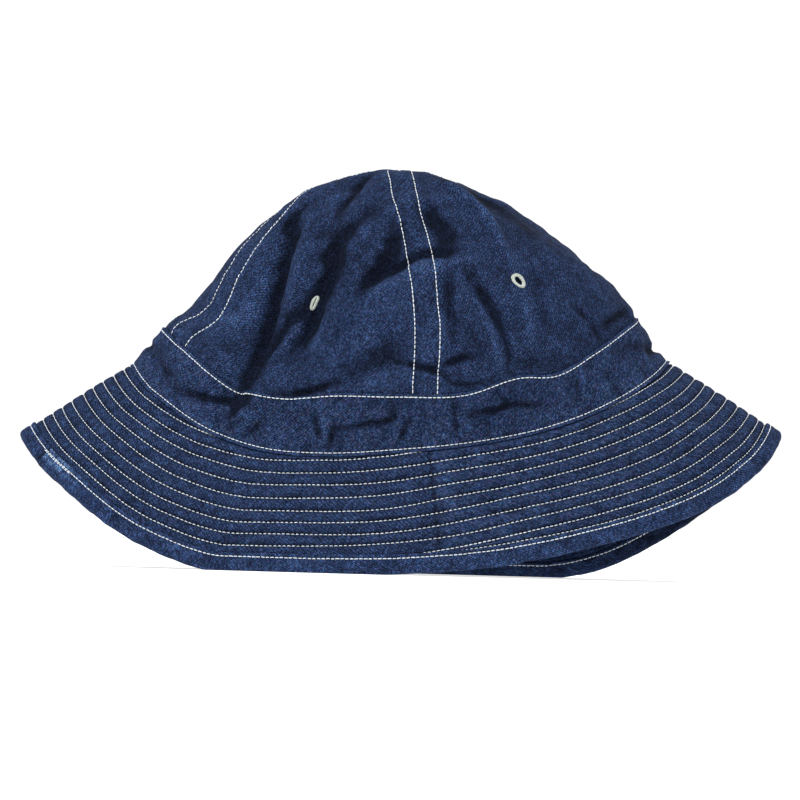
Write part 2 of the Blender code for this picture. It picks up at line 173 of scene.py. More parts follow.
Ring = namedtuple("Ring", "along rise lean width depth")
RING_ROWS = (
    (0.00, 0.00, -0.016, 1.000, 1.000),
    (0.11, 0.15, 0.013, 0.905, 0.985),
    (0.22, 0.30, 0.016, 0.820, 0.940),
    (0.32, 0.45, 0.000, 0.735, 0.870),
    (0.44, 0.60, -0.024, 0.623, 0.760),
    (0.56, 0.74, -0.039, 0.500, 0.620),
    (0.69, 0.86, -0.058, 0.372, 0.440),
    (0.82, 0.95, -0.046, 0.222, 0.250),
    (1.00, 1.00, -0.037, 0.000, 0.000),
    (1.18, 0.95, -0.046, -0.222, -0.250),
)
CROWN_RINGS = [Ring(*row) for row in RING_ROWS]

# Folds from start past middle to end (azimuth, level). Width and depth are shares of FOLD_WIDTH and
# FOLD_DEPTH.
Fold = namedtuple("Fold", "name start middle end width depth")
FOLD_ROWS = (
    ("left valley", (-59, 1.56), (-46, 1.15), (-46, 0.30), 1.0, 1.00),
    ("left ridge", (-48, 1.62), (-39, 1.34), (-38, 1.06), 0.9, -0.30),
    ("eyelet valley", (-37, 1.56), (-30, 1.33), (-33, 1.12), 0.9, 0.60),
    ("top valley", (-48, 1.87), (-39, 1.74), (-36, 1.62), 0.9, 0.40),
    ("front dent", (24, 1.66), (3, 1.50), (-14, 1.34), 1.4, 0.85),
    ("right shoulder", (54, 1.84), (49, 1.62), (42, 1.39), 0.9, -0.45),
    ("right shallow valley", (14, 1.40), (14, 1.31), (13, 1.20), 0.7, 0.30),
    ("right valley", (23, 1.37), (26, 1.23), (27, 1.06), 0.8, 0.45),
    ("front crease", (3, 1.10), (10, 1.09), (18, 1.13), 0.6, 0.22),
    ("left foot crease", (-30, 1.02), (-24, 1.03), (-16, 1.06), 0.6, 0.22),
    ("left foot ridge", (-98, 1.08), (-84, 1.05), (-70, 1.02), 0.9, -0.25),
    ("right foot ridge", (74, 1.02), (86, 1.05), (98, 1.06), 0.9, -0.25),
    ("band left crease", (-60, 0.30), (-52, 0.48), (-44, 0.70), 0.7, 0.25),
    ("band right crease", (19, 0.62), (26, 0.56), (34, 0.49), 0.6, 0.20),
    ("band side crease", (72, 0.38), (84, 0.42), (96, 0.40), 0.6, 0.22),
    ("right side dent", (78, 1.60), (82, 1.40), (80, 1.20), 1.3, 0.30),
    ("back right valley", (128, 1.58), (133, 1.32), (130, 1.05), 1.0, 0.60),
    ("back dent", (168, 1.60), (186, 1.50), (203, 1.56), 1.4, 0.55),
    ("back left valley", (236, 1.60), (222, 1.32), (220, 1.02), 1.0, 0.75),
    ("back shallow valley", (205, 1.42), (202, 1.28), (206, 1.10), 0.8, 0.35),
)
FOLDS = [Fold(*row) for row in FOLD_ROWS]

# The azimuth of each crown seam at these levels, and how far its two rows of stitches are spread. They end
# near the apex, where they would lie WIDEST_SEAM_TURN degrees from their seam.
SEAM_LEVELS = (1.00, 1.06, 1.12, 1.18, 1.26, 1.36, 1.48, 1.60, 1.75, 2.00)
Seam = namedtuple("Seam", "azimuths spread")
FRONT_SEAM = Seam(np.array((6.4, 5.6, 5.3, 5.4, 5.9, 6.9, 8.4, 8.9, 7.2, 0.0)), 1.0)
RIGHT_SEAM = Seam(np.array((112, 112.5, 112, 111, 111, 110, 109.5, 110, 114, 125)), 1.0)
BACK_SEAM = Seam(np.array((184, 184.5, 185, 185, 184, 183.5, 183.5, 184, 184, 184)), 1.0)
LEFT_SEAM = Seam(np.array((289.8, 289.4, 292.4, 292.2, 289.5, 288.6, 285.4, 279.2, 260, 234)), 1.28)
NEXT_FRONT_SEAM = Seam(FRONT_SEAM.azimuths + 360, 1.0)
SEAMS = (FRONT_SEAM, RIGHT_SEAM, BACK_SEAM, LEFT_SEAM)
WIDEST_SEAM_TURN = 34
BRIM_JOINTS = (6.6, 184.0)

# Creases of a hat that has been worn and packed: width in mm, depth as a share of CREASE_DEPTH, course
# (azimuth, level), and shade, how dark the cloth is painted in it. The darkness is painted shade, partly dye
# kept unfaded in the fold, and a negative depth makes a ridge with a painted highlight. Rows with little
# depth and a given shade are painted shade alone. Without a shade, the depth sets it.
CREASE_DEPTH = 1.25 * MM
CREASE_SWELL_SHARE = 0.55
CREASE_WOBBLE_SHARE = 0.18
CREASE_WOBBLE_WAVE = 11 * MM
CREASE_WOBBLE_SEED = 41
CREASE_PAINTED_SHADE = 0.95
PALEST_RIDGE_HIGHLIGHT, DARKEST_CREASE_SHADE = -0.8, 1.45
EYELET_FLAT = 4 * MM
Crease = namedtuple("Crease", "name width depth course shade", defaults=(None,))
CREASE_ROWS = (
    ("right flank", 10.0, 1.0, ((92, 1.34), (90, 1.27), (90, 1.18)), 0),
    ("right foot", 6.5, 0.9, ((80, 1.10), (90, 1.085), (100, 1.10)), 0),
    ("right band top", 7.0, 1.1, ((80, 0.98), (90, 0.96), (100, 0.98)), 0),
    ("band left notch", 2.4, 1.3, ((-104, 0.60), (-90, 0.57), (-77, 0.55)), 0.9),
    ("band right notch", 2.4, 1.6, ((77, 0.38), (90, 0.34), (104, 0.36)), 0.9),
    ("left band top", 5.0, 0.6, ((-98, 1.01), (-90, 0.99), (-82, 1.00)), 0),
    ("left foot", 5.5, 1.0, ((-98, 1.09), (-90, 1.08), (-80, 1.07)), 0),
    ("left foot edge", 3.5, 0.6, ((-98, 1.05), (-90, 1.045), (-84, 1.04)), 0),
    ("left top", 6.0, 0.6, ((-100, 1.69), (-90, 1.665), (-78, 1.65)), 0),
    ("right plane", 12.0, 0.1, ((58, 1.64), (68, 1.52), (72, 1.36)), 0.4),
    ("left valley foot", 5.5, 0.5, ((-46, 1.14), (-44, 1.07), (-42.5, 1.01)), 1.0),
    ("left valley flank", 4.5, 0.1, ((-43, 1.30), (-41, 1.21), (-40, 1.12), (-39.5, 1.03)), 0.8),
    ("band left patch", 4.5, 0.5, ((-47, 0.84), (-41, 0.80), (-36, 0.90)), 0.95),
    ("left valley", 4.4, 2.6,
     ((-62, 1.56), (-54, 1.50), (-50, 1.42), (-48, 1.31), (-46.5, 1.22), (-44, 1.10), (-42, 1.00))),
    ("left shoulder", 3.0, 1.0, ((-56, 1.66), (-62, 1.56), (-60, 1.51))),
    ("left slope ridge", 4.5, -0.7, ((-42, 1.60), (-40, 1.45), (-38, 1.33), (-40, 1.22)), -0.1),
    ("eyelet valley", 4.0, 2.6,
     ((-10, 1.68), (-22, 1.57), (-29, 1.48), (-28, 1.40), (-29.5, 1.32), (-30, 1.26), (-31, 1.20),
      (-33, 1.13))),
    ("eyelet plane", 7.5, 1.6, ((-30, 1.56), (-26, 1.46), (-27, 1.36))),
    ("left branch", 2.8, 2.0, ((-34, 1.28), (-37, 1.21), (-40, 1.14), (-42, 1.05))),
    ("top valley", 3.0, 1.1, ((-52, 1.87), (-36, 1.76), (-33, 1.64))),
    ("top ridge", 3.5, -0.5, ((-46, 1.76), (-42, 1.68), (-38, 1.58))),
    ("dent edge", 3.6, 2.4, ((23, 1.46), (16, 1.47), (8, 1.48), (0, 1.44), (-8, 1.40), (-15, 1.32))),
    ("dent lip", 4.0, -1.2, ((20, 1.40), (8, 1.42), (-2, 1.37), (-10, 1.32))),
    ("dent side", 4.5, 1.6, ((1, 1.58), (-5, 1.46), (-11, 1.38))),
    ("dent right", 5.5, 1.8, ((19, 1.66), (22, 1.57), (21, 1.48))),
    ("left foot crease", 2.0, 1.3, ((-31, 1.015), (-25, 1.02), (-19, 1.035), (-16, 1.05))),
    ("left foot patch", 6.0, 0.9, ((-15, 1.07), (-9, 1.12), (-2, 1.16))),
    ("left small crease", 2.6, 0.6, ((-56, 1.08), (-50, 1.10))),
    ("left foot swell", 5.0, -0.8, ((-62, 1.10), (-54, 1.20), (-53, 1.32))),
    ("band left crease", 2.0, 1.5, ((-60, 0.26), (-52, 0.50), (-46, 0.67), (-40, 0.92))),
    ("band left point", 3.4, 1.7, ((-38, 0.96), (-41, 0.72), (-41, 0.38))),
    ("band left ripple a", 1.8, 0.7, ((-37, 0.44), (-41, 0.10))),
    ("band left ripple b", 1.8, 0.7, ((-32, 0.52), (-35, 0.12))),
    ("band left ripple c", 1.8, 0.5, ((-51, 0.48), (-47, 0.22))),
    ("band left ripple d", 2.0, -0.5, ((-36, 0.58), (-38, 0.20))),
    ("band front fold a", 1.8, 1.1, ((-20, 0.72), (-17, 0.25))),
    ("band front ridge", 1.8, -0.7, ((-18, 0.80), (-16.5, 0.45), (-15.5, 0.15))),
    ("band front fold b", 2.0, 1.0, ((-14.5, 0.46), (-15, 0.06))),
    ("band front crease", 1.8, 1.1,
     ((-16, 0.42), (-10, 0.45), (-6, 0.52), (-2.5, 0.55), (-0.5, 0.67), (-1.5, 0.96))),
    ("band side crease a", 3.0, 0.8, ((-80, 0.60), (-70, 0.50), (-61, 0.44))),
    ("right of seam", 2.6, 0.9, ((17.5, 1.42), (16.5, 1.38), (14.5, 1.31), (13, 1.22), (12, 1.16))),
    ("right valley", 2.8, 1.2, ((22, 1.40), (24, 1.35), (25.5, 1.29), (27.5, 1.23), (28.5, 1.18))),
    ("right valley foot", 1.8, 0.9, ((26, 1.24), (27.5, 1.17), (28, 1.10), (27, 1.03))),
    ("right valley ridge", 2.2, -0.7, ((22, 1.30), (24, 1.20), (24.5, 1.10), (24.5, 1.04))),
    ("right small crease", 2.6, 0.5, ((15, 1.26), (19, 1.18), (20, 1.11))),
    ("shoulder ridge", 2.6, -1.3,
     ((47, 1.82), (49.5, 1.71), (49.5, 1.60), (46, 1.51), (43.5, 1.43), (43, 1.36))),
    ("behind the shoulder", 5.0, 0.5, ((52, 1.85), (60, 1.76), (66, 1.64), (70, 1.54)), 1.2),
    ("eyelet ridge", 2.8, -0.8, ((40, 1.29), (37, 1.21), (34, 1.11))),
    ("eyelet side", 3.0, 0.6, ((50, 1.38), (45, 1.28), (43, 1.18))),
    ("far right a", 2.0, 0.9, ((54, 1.20), (58, 1.11), (58, 1.02))),
    ("far right b", 2.4, 0.9, ((60, 1.07), (70, 1.07), (82, 1.07))),
    ("right foot patch", 4.0, 0.7, ((29, 1.04), (36, 1.05), (43, 1.06))),
    ("front foot left", 2.1, 1.4, ((-3, 1.115), (3, 1.10), (7, 1.088), (10.5, 1.078))),
    ("front foot right", 2.0, 1.3, ((9.5, 1.105), (13, 1.12), (18, 1.125))),
    ("front foot arc", 1.6, 0.9, ((10, 1.075), (13, 1.045), (18, 1.03), (25, 1.02))),
    ("band right crease", 1.7, 1.2,
     ((16, 0.56), (19, 0.60), (23, 0.56), (27, 0.56), (31, 0.47), (35, 0.40))),
    ("band front fold c", 1.6, 1.2, ((3, 0.62), (1.5, 0.36), (0.5, 0.10))),
    ("band front fold d", 1.5, 0.9, ((13, 0.90), (13, 0.55), (13, 0.14))),
    ("band front fold e", 1.4, 0.5, ((20, 0.44), (20, 0.08))),
    ("band right fold a", 1.6, 0.7, ((24, 0.90), (25.5, 0.60))),
    ("band right fold b", 1.6, 0.8, ((54, 0.58), (56, 0.31), (56, 0.06))),
    ("band right fold c", 1.6, 0.6, ((46, 0.80), (44, 0.36))),
    ("band right ridge", 2.0, -0.6, ((48, 0.84), (46, 0.45))),
    ("band right end", 3.0, 0.8, ((62, 0.84), (74, 0.56), (84, 0.48))),
    ("right side valley", 3.4, 1.6, ((104, 1.58), (99, 1.45), (100, 1.30), (103, 1.18))),
    ("right side crease", 2.4, 0.6, ((76, 1.44), (79, 1.30), (86, 1.18), (94, 1.08))),
    ("right side ridge", 4.0, -0.9, ((122, 1.52), (120, 1.38), (121, 1.24))),
    ("back right valley", 3.4, 2.2, ((126, 1.64), (132, 1.48), (134, 1.32), (131, 1.16), (128, 1.02))),
    ("back right branch", 2.6, 1.2, ((142, 1.40), (140, 1.26), (134, 1.14))),
    ("back right crease", 2.2, 1.0, ((150, 1.12), (159, 1.08), (168, 1.10))),
    ("back dent edge", 3.6, 2.0, ((164, 1.52), (174, 1.46), (186, 1.44), (198, 1.48), (206, 1.56))),
    ("back dent lip", 4.0, -1.0, ((168, 1.40), (184, 1.37), (200, 1.41))),
    ("back left valley", 3.4, 2.4, ((234, 1.60), (226, 1.46), (222, 1.32), (221, 1.16), (222, 1.01))),
    ("back left branch", 2.6, 1.2, ((212, 1.36), (214, 1.24), (219, 1.12))),
    ("back left ridge", 4.0, -1.2, ((244, 1.58), (237, 1.42), (233, 1.26))),
    ("back left crease", 2.2, 1.0, ((232, 1.05), (242, 1.07), (254, 1.04))),
    ("left side valley", 3.0, 1.4, ((262, 1.56), (264, 1.40), (260, 1.24), (258, 1.10))),
    ("band back crease a", 2.0, 1.3, ((122, 0.70), (131, 0.52), (142, 0.44), (152, 0.50))),
    ("band back crease b", 2.0, 1.2, ((206, 0.44), (215, 0.55), (224, 0.74), (228, 0.95))),
    ("band back fold a", 1.8, 0.8, ((166, 0.82), (168, 0.20))),
    ("band back fold b", 1.8, 0.8, ((190, 0.66), (188, 0.10))),
    ("band back fold c", 1.8, 0.8, ((240, 0.72), (243, 0.15))),
    ("band side fold", 1.8, 0.8, ((104, 0.85), (106, 0.25))),
    ("band side fold b", 1.8, 0.8, ((268, 0.80), (265, 0.22))),
)
CREASES = [Crease(*row) for row in CREASE_ROWS]

# The gores. Each eyelet has its place, how narrow a fold has pinched it, and how far it leans in degrees
Panel = namedtuple("Panel", "name from_seam to_seam columns eyelet pinch lean")
PANELS = (
    Panel("front_right", FRONT_SEAM, RIGHT_SEAM, 160, (40.4, 1.33), 0.76, 12),
    Panel("back_right", RIGHT_SEAM, BACK_SEAM, 110, (147, 1.32), 0.95, 0),
    Panel("back_left", BACK_SEAM, LEFT_SEAM, 130, (240, 1.32), 0.90, 8),
    Panel("front_left", LEFT_SEAM, NEXT_FRONT_SEAM, 150, (328.8, 1.305), 0.24, 8),
)

# The quilting is one spiral that starts at the tape and ends at the band, one row further in at each turn.
# At these azimuths its ten rows, from the band outwards, lie at these shares of the brim's width.
QUILT_ROWS = 10
QUILT_COURSE = (
    (0, (0.042, 0.148, 0.254, 0.358, 0.474, 0.568, 0.670, 0.756, 0.870, 0.886)),
    (10, (0.014, 0.118, 0.214, 0.314, 0.418, 0.524, 0.625, 0.728, 0.824, 0.854)),
    (20, (0.010, 0.104, 0.200, 0.298, 0.398, 0.488, 0.590, 0.686, 0.782, 0.842)),
    (30, (0.010, 0.106, 0.198, 0.288, 0.388, 0.484, 0.588, 0.676, 0.773, 0.848)),
    (50, (0.024, 0.105, 0.203, 0.292, 0.394, 0.492, 0.594, 0.683, 0.777, 0.848)),
    (68, (0.046, 0.128, 0.222, 0.316, 0.402, 0.494, 0.588, 0.684, 0.776, 0.849)),
    (84, (0.062, 0.150, 0.242, 0.330, 0.420, 0.516, 0.612, 0.708, 0.792, 0.850)),
    (180, (0.074, 0.162, 0.253, 0.343, 0.431, 0.527, 0.620, 0.709, 0.792, 0.850)),
    (284, (0.084, 0.174, 0.264, 0.354, 0.441, 0.542, 0.630, 0.712, 0.798, 0.872)),
    (300, (0.076, 0.170, 0.258, 0.352, 0.444, 0.542, 0.637, 0.717, 0.803, 0.872)),
    (320, (0.020, 0.116, 0.210, 0.318, 0.422, 0.524, 0.620, 0.710, 0.800, 0.872)),
    (340, (-0.020, 0.066, 0.174, 0.274, 0.388, 0.494, 0.592, 0.686, 0.786, 0.874)),
)
# The tape's stitches lie at this share of the brim's width, and its lapped joint between these azimuths
BINDING_ROW = 0.893
TAPE_JOINT = (-71.5, -63.5)
# At these shares of the brim's width its ribs end and its cloth ends, inside the tape
RIBS_END = (0.85, 0.88)
BRIM_CLOTH_END = 0.976
BRIM_WIDTH = 0.06

NORMAL_STEP_DEGREES = 0.36
NORMAL_STEP_LEVELS = 0.004

# How strong each denim's colour is and the slant of its twill in degrees, and each thread's colour and the
# painted shade between its plies
DENIMS = {
    "indigo denim": (1.0, 52),
    "indigo denim for the brim": (1.05, 64),
    "indigo denim bias tape": (1.19, 58),
}
THREADS = {
    "off-white cotton thread": ("#e6eef4", "#cbd3da"),
    "pale eyelet thread": ("#ccd2c8", "#9aa19c"),
}

# The stage, with the camera's lens in mm and its roll in degrees
FLOOR_HALF_SIZE = 60.0
CAMERA_TARGET = (-0.0009, 0, 0.0767)
CAMERA_LENS = 511.0
CAMERA_ROLL = 1.57


def column(rows, name):
    """One named column of a table."""
    return np.array([getattr(row, name) for row in rows], float)


def smooth_curve(knots, values, x):
    """A smooth curve through (knots, values), read at x."""
    gaps = np.diff(knots)
    slopes = np.diff(values) / gaps
    inner = (slopes[:-1] * gaps[1:] + slopes[1:] * gaps[:-1]) / (gaps[:-1] + gaps[1:])
    tangents = np.concatenate([slopes[:1], inner, slopes[-1:]])
    piece = np.clip(np.searchsorted(knots, x, side="right") - 1, 0, len(gaps) - 1)
    gap = gaps[piece]
    t = (x - knots[piece]) / gap
    ends = (1 + 2 * t) * (1 - t) ** 2 * values[piece] + t**2 * (3 - 2 * t) * values[piece + 1]
    bends = t * (1 - t) ** 2 * tangents[piece] - t**2 * (1 - t) * tangents[piece + 1]
    return ends + bends * gap


def smooth_step(x, low, high):
    t = np.clip((x - low) / (high - low), 0, 1)
    return t * t * (3 - 2 * t)


def bell(x, middle, width):
    return np.exp(-(((x - middle) / width) ** 2))


def turn_from(middle, azimuth):
    """Degrees from the middle to the azimuth, the short way round."""
    return np.mod(azimuth - middle + 180, 360) - 180


def both_arrays(first, second):
    return np.broadcast_arrays(np.asarray(first, float), np.asarray(second, float))


def edge_share(name, azimuth):
    """A column of EDGES as a smooth curve all round the hat."""
    knots = column(EDGES, "azimuth")
    whole_knots = np.concatenate([knots - 360, knots, knots + 360])
    first = knots[0]
    return smooth_curve(whole_knots, np.tile(column(EDGES, name), 3), np.mod(azimuth - first, 360) + first)


def ring_share(name, along):
    """A column of CROWN_RINGS as a smooth curve up the crown."""
    return smooth_curve(column(CROWN_RINGS, "along"), column(CROWN_RINGS, name), along)


def oval(azimuth, middle, half_width, half_depth, height):
    turn = np.radians(azimuth)
    return np.stack([middle + half_width * np.sin(turn), -half_depth * np.cos(turn), height], -1)


def plain_point(azimuth, level):
    """The hat's surface without its folds."""
    rim_height = RIM_RISE * np.maximum(edge_share("rim", azimuth), 0) - FLOOR_PRESS
    seam_height = SEAM_RISE * edge_share("seam", azimuth)
    band_height = seam_height + BAND_WIDTH * edge_share("band", azimuth)
    rim = oval(azimuth, 0, RIM_HALF_WIDTH, RIM_HALF_DEPTH, rim_height)
    seam = oval(azimuth, SEAM_LEAN_SHARE * SEAM_HALF_WIDTH, SEAM_HALF_WIDTH, SEAM_HALF_DEPTH, seam_height)
    along = np.clip(level - 1, 0, 1)
    crown = oval(
        azimuth,
        CROWN_HALF_WIDTH * ring_share("lean", along),
        CROWN_HALF_WIDTH * ring_share("width", along),
        CROWN_HALF_DEPTH * ring_share("depth", along),
        band_height + (HAT_HEIGHT - band_height) * ring_share("rise", along),
    )
    down = np.clip(-level, 0, 1)[..., None]
    up = np.clip(level, 0, 1)[..., None]
    lower = seam + (rim - seam) * down
    upper = seam + (crown - seam) * up
    return np.where((level < 0)[..., None], lower, upper)


def unit(vectors):
    return vectors / np.maximum(np.linalg.norm(vectors, axis=-1, keepdims=True), 1e-12)


def surface_normal(point_of, azimuth, level):
    """The outward normal, looking up the hat."""
    across = point_of(azimuth + NORMAL_STEP_DEGREES, level) - point_of(azimuth - NORMAL_STEP_DEGREES, level)
    upward = point_of(azimuth, level + NORMAL_STEP_LEVELS) - point_of(azimuth, level)
    return unit(np.cross(across, upward))


def fold_line(fold):
    """The fold's course on the plain surface, through its three places."""
    t = np.linspace(0, 1, FOLD_PIECES + 1)[:, None]
    start, middle, end = np.array((fold.start, fold.middle, fold.end), float)
    places = (1 - t) * (1 - 2 * t) * start + 4 * t * (1 - t) * middle + t * (2 * t - 1) * end
    return plain_point(places[:, 0], places[:, 1])


def distance_to(course, points):
    """Each point's distance to this line of points, and how far along it the nearest place is, 0 to 1."""
    nearest = np.full(points.shape[:-1], np.inf)
    along = np.zeros(nearest.shape)
    pieces = len(course) - 1
    for i in range(pieces):
        run = course[i + 1] - course[i]
        t = np.clip(((points - course[i]) @ run) / (run @ run), 0, 1)
        distance = np.linalg.norm(points - course[i] - t[..., None] * run, axis=-1)
        closer = distance < nearest
        nearest = np.where(closer, distance, nearest)
        along = np.where(closer, (i + t) / pieces, along)
    return nearest, along


def fold_inset(points):
    """How far the folds push these points of the plain surface inwards."""
    inset = np.zeros(points.shape[:-1])
    for fold in FOLDS:
        distance, along = distance_to(fold_line(fold), points)
        across = distance / (fold.width * FOLD_WIDTH)
        valley = (1 - FOLD_SWELL_SHARE * across**2) * np.exp(-(across**2))
        taper = np.sin(math.pi * np.clip(along, 0, 1)) ** FOLD_TAPER_POWER
        inset += fold.depth * FOLD_DEPTH * valley * taper
    return inset


def cloth_point(azimuth, level):
    """The outer face of the cloth, folds included."""
    plain = plain_point(azimuth, level)
    return plain - surface_normal(plain_point, azimuth, level) * fold_inset(plain)[..., None]


def paces(azimuth, level):
    """Metres for each degree round the hat, and for each level up it."""
    here = plain_point(azimuth, level)
    round_it = np.linalg.norm(plain_point(azimuth + 0.5, level) - here, axis=-1) / 0.5
    up_it = np.linalg.norm(plain_point(azimuth, level + 0.01) - here, axis=-1) / 0.01
    return np.maximum(round_it, 1e-6), np.maximum(up_it, 1e-6)


def ripples(places, seed):
    """A smooth random field of about -1 to 1, with waves about one unit long."""
    random = np.random.default_rng(seed)
    size = places.shape[-1]
    total = np.zeros(places.shape[:-1])
    for _ in range(RIPPLE_WAVES):
        way = random.normal(size=size)
        way *= 2 * math.pi / np.linalg.norm(way) * random.uniform(0.65, 1.5)
        total += np.sin(places @ way + random.uniform(0, 2 * math.pi))
    return total / math.sqrt(RIPPLE_WAVES)


def uneven(cloth, places, puckered=1):
    """Height, and wear with painted shade, of a cloth's puckers, where it is puckered, and of its ripples,
    and their fields.
    """
    rows = RIPPLES[cloth]
    fields = [ripples(places / (row.wave * MM), row.seed) for row in rows]
    fields[0] = fields[0] * puckered
    height = sum(row.height * MM * field for row, field in zip(rows, fields))
    wear = sum(row.wear * field for row, field in zip(rows, fields))
    return height, wear, fields


def traced(distance, traces):
    """How much paler, with wear, or darker, with painted shade in a stitch groove, these lines make the cloth
    at this distance.
    """
    return sum(row.paleness * bell(distance, row.distance * MM, row.width * MM) for row in traces)


def crease_course(crease):
    """The crease's course on the plain surface, rounded through its places."""
    places = np.array(crease.course, float)
    knots = np.linspace(0, 1, len(places))
    t = np.linspace(0, 1, 3 * (len(places) - 1) + 1)
    if len(places) == 2:
        places = places[0] + (places[1] - places[0]) * t[:, None]
        return plain_point(places[:, 0], places[:, 1])
    azimuth, level = (smooth_curve(knots, places[:, i], t) for i in (0, 1))
    return plain_point(azimuth, level)


def creasing(plain):
    """How deep the creases push these points of the plain surface in, and how much shade is painted into the
    cloth in them, with painted highlight on ridges.
    """
    inset = np.zeros(plain.shape[:-1])
    shade = np.zeros(plain.shape[:-1])
    wobble = 1 + CREASE_WOBBLE_SHARE * ripples(plain / CREASE_WOBBLE_WAVE, CREASE_WOBBLE_SEED)
    for crease in CREASES:
        course = crease_course(crease)
        low, high = course.min(0), course.max(0)
        reach = np.linalg.norm(high - low) / 2 + 4 * crease.width * MM
        near = np.linalg.norm(plain - (low + high) / 2, axis=-1) < reach
        if not near.any():
            continue
        distance, along = distance_to(course, plain[near])
        across = distance / (crease.width * MM * wobble[near])
        valley = (1 - CREASE_SWELL_SHARE * across**2) * np.exp(-(across**2))
        taper = np.sin(math.pi * np.clip(0.04 + 0.92 * along, 0, 1)) ** 0.5
        inset[near] += CREASE_DEPTH * crease.depth * valley * taper
        painted_darkness = crease.shade
        if painted_darkness is None:
            painted_darkness = np.clip(crease.depth, PALEST_RIDGE_HIGHLIGHT, DARKEST_CREASE_SHADE)
        shade[near] += painted_darkness * np.exp(-((1.1 * across) ** 3.2)) * taper
    for panel in PANELS:
        eyelet = plain_point(*(np.array(float(x)) for x in panel.eyelet))
        inset = inset * (1 - bell(np.linalg.norm(plain - eyelet, axis=-1), 0, EYELET_FLAT))
    return inset, shade


def seam_azimuth(seam, level):
    return smooth_curve(np.array(SEAM_LEVELS), seam.azimuths, np.clip(level, 1, 2))


def seam_distance(azimuth, level):
    """Distance to the nearest crown seam, in metres."""
    pace, _ = paces(azimuth, level)
    found = np.full(np.shape(azimuth), np.inf)
    for seam in SEAMS:
        turn = turn_from(seam_azimuth(seam, level), azimuth)
        found = np.minimum(found, np.abs(turn) * pace / seam.spread)
    return found


def crown_relief(azimuth, level, point):
    """Height of the crown's seams, puckers and creases over its folded surface, and its wear and painted
    shade.
    """
    distance = seam_distance(azimuth, level)
    off_stitch = distance - SEAM_STITCH
    allowance = 1 - smooth_step(distance, SEAM_ALLOWANCE - 0.8 * MM, SEAM_ALLOWANCE + 0.9 * MM)
    grooves = SEAM_GROOVE * bell(distance, 0, 0.5 * MM) + STITCH_GROOVE * bell(off_stitch, 0, 0.6 * MM)
    height, wear, _ = uneven("crown", point, bell(off_stitch, 0, 2.6 * MM))
    inset, shade = creasing(plain_point(azimuth, level))
    height = height + ALLOWANCE_HEIGHT * allowance - grooves - inset
    # The crown's foot is flat where the band laps over it, and lies lower by the band's wall
    under_band = np.minimum(height * smooth_step(level, 1.0, 1.03), 0.2 * MM)
    recess = (BAND_WALL + CLEARANCE) * (1 - smooth_step(level, 0.98, 1 + BAND_MOUTH_LEVELS))
    height = np.where(level < 1.02, under_band, height) - recess
    wear = wear + traced(distance, SEAM_TRACES) + traced(off_stitch, SEAM_STITCH_TRACES)
    return height, wear - CREASE_PAINTED_SHADE * shade


def crown_surface(azimuth, level):
    """Outer point, normal, and wear with painted shade, of the finished crown cloth."""
    azimuth, level = both_arrays(azimuth, level)
    point = cloth_point(azimuth, level)
    normal = surface_normal(cloth_point, azimuth, level)
    height, wear = crown_relief(azimuth, level, point)
    return point + normal * height[..., None], normal, wear


def edge_drop(distance):
    """How far a folded edge rolls in, this far from it."""
    short = np.clip(EDGE_ROLL - distance, 0, EDGE_ROLL)
    return EDGE_ROLL - np.sqrt(np.maximum(EDGE_ROLL**2 - short**2, 0))


def band_level(azimuth, place):
    """The level at this place on the band: 0 to 1 between its rows of stitches, and in mm past them."""
    _, brim_pace = paces(azimuth, np.full_like(azimuth, -0.05))
    _, crown_pace = paces(azimuth, np.full_like(azimuth, 1.02))
    over, under = np.maximum(place - 1, 0), np.maximum(-place, 0)
    return np.clip(place, 0, 1) + over * MM / crown_pace - under * MM / brim_pace


def band_surface(azimuth, place):
    """Outer point, normal, and wear with painted shade, of the band, whose edges lie on the crown and the
    brim.
    """
    azimuth, place = both_arrays(azimuth, place)
    level = band_level(azimuth, place)
    point = cloth_point(azimuth, level)
    inset, shade = creasing(plain_point(azimuth, level))
    low = surface_normal(cloth_point, azimuth, np.clip(level, 0.03, 0.9))
    high = surface_normal(cloth_point, azimuth, np.full_like(azimuth, 1.03))
    _, _, brim, _ = brim_frame(azimuth)
    to_brim = 0.75 * (1 - smooth_step(place, -1.2, 0.06))[..., None]
    to_crown = 0.6 * smooth_step(place, 0.95, 2.0)[..., None]
    normal = unit(low * (1 - to_brim - to_crown) + brim * to_brim + high * to_crown)
    _, pace = paces(azimuth, np.full_like(azimuth, 0.5))
    from_top = (1 - place) * np.where(place > 1, MM, pace)
    from_foot = place * np.where(place < 0, MM, pace)
    grooves = bell(from_top, 0, 0.5 * MM) + bell(from_foot, 0, 0.5 * MM)
    puckered = bell(from_top, 0.8 * MM, 2.2 * MM) + bell(from_foot, 0.8 * MM, 2.4 * MM)
    height, wear, _ = uneven("band", point, puckered)
    height = height + BAND_STAND - STITCH_GROOVE * grooves - inset
    height = height - edge_drop(from_top + BAND_TOP_EDGE) - edge_drop(from_foot + BAND_FOOT_EDGE)
    height = height + BAND_FOOT_STAND * smooth_step(-from_foot, 0, BAND_FOOT_EDGE)
    wear = wear + traced(from_top, BAND_TOP_TRACES) + traced(from_foot, BAND_FOOT_TRACES)
    paler_ends = 0.22 * smooth_step(np.abs(np.sin(np.radians(azimuth))), 0.45, 0.85)
    return point + normal * height[..., None], normal, wear - CREASE_PAINTED_SHADE * shade + paler_ends


def eyelet_scale(panel):
    """Azimuth and level of the panel's eyelet, and metres for each degree and level there."""
    azimuth, level = (np.array(float(x)) for x in panel.eyelet)
    return (azimuth, level, *paces(azimuth, level))


def eyelet_hole(panel, azimuth, level):
    """Distance from the eyelet's middle, larger across the way in which it is pinched."""
    middle, height, pace, rise = eyelet_scale(panel)
    across = turn_from(middle, azimuth) * pace
    up = (level - height) * rise
    lean = math.radians(panel.lean)
    aside = (across * math.cos(lean) - up * math.sin(lean)) / panel.pinch
    along = (across * math.sin(lean) + up * math.cos(lean)) / EYELET_STRETCH
    return np.hypot(aside, along)


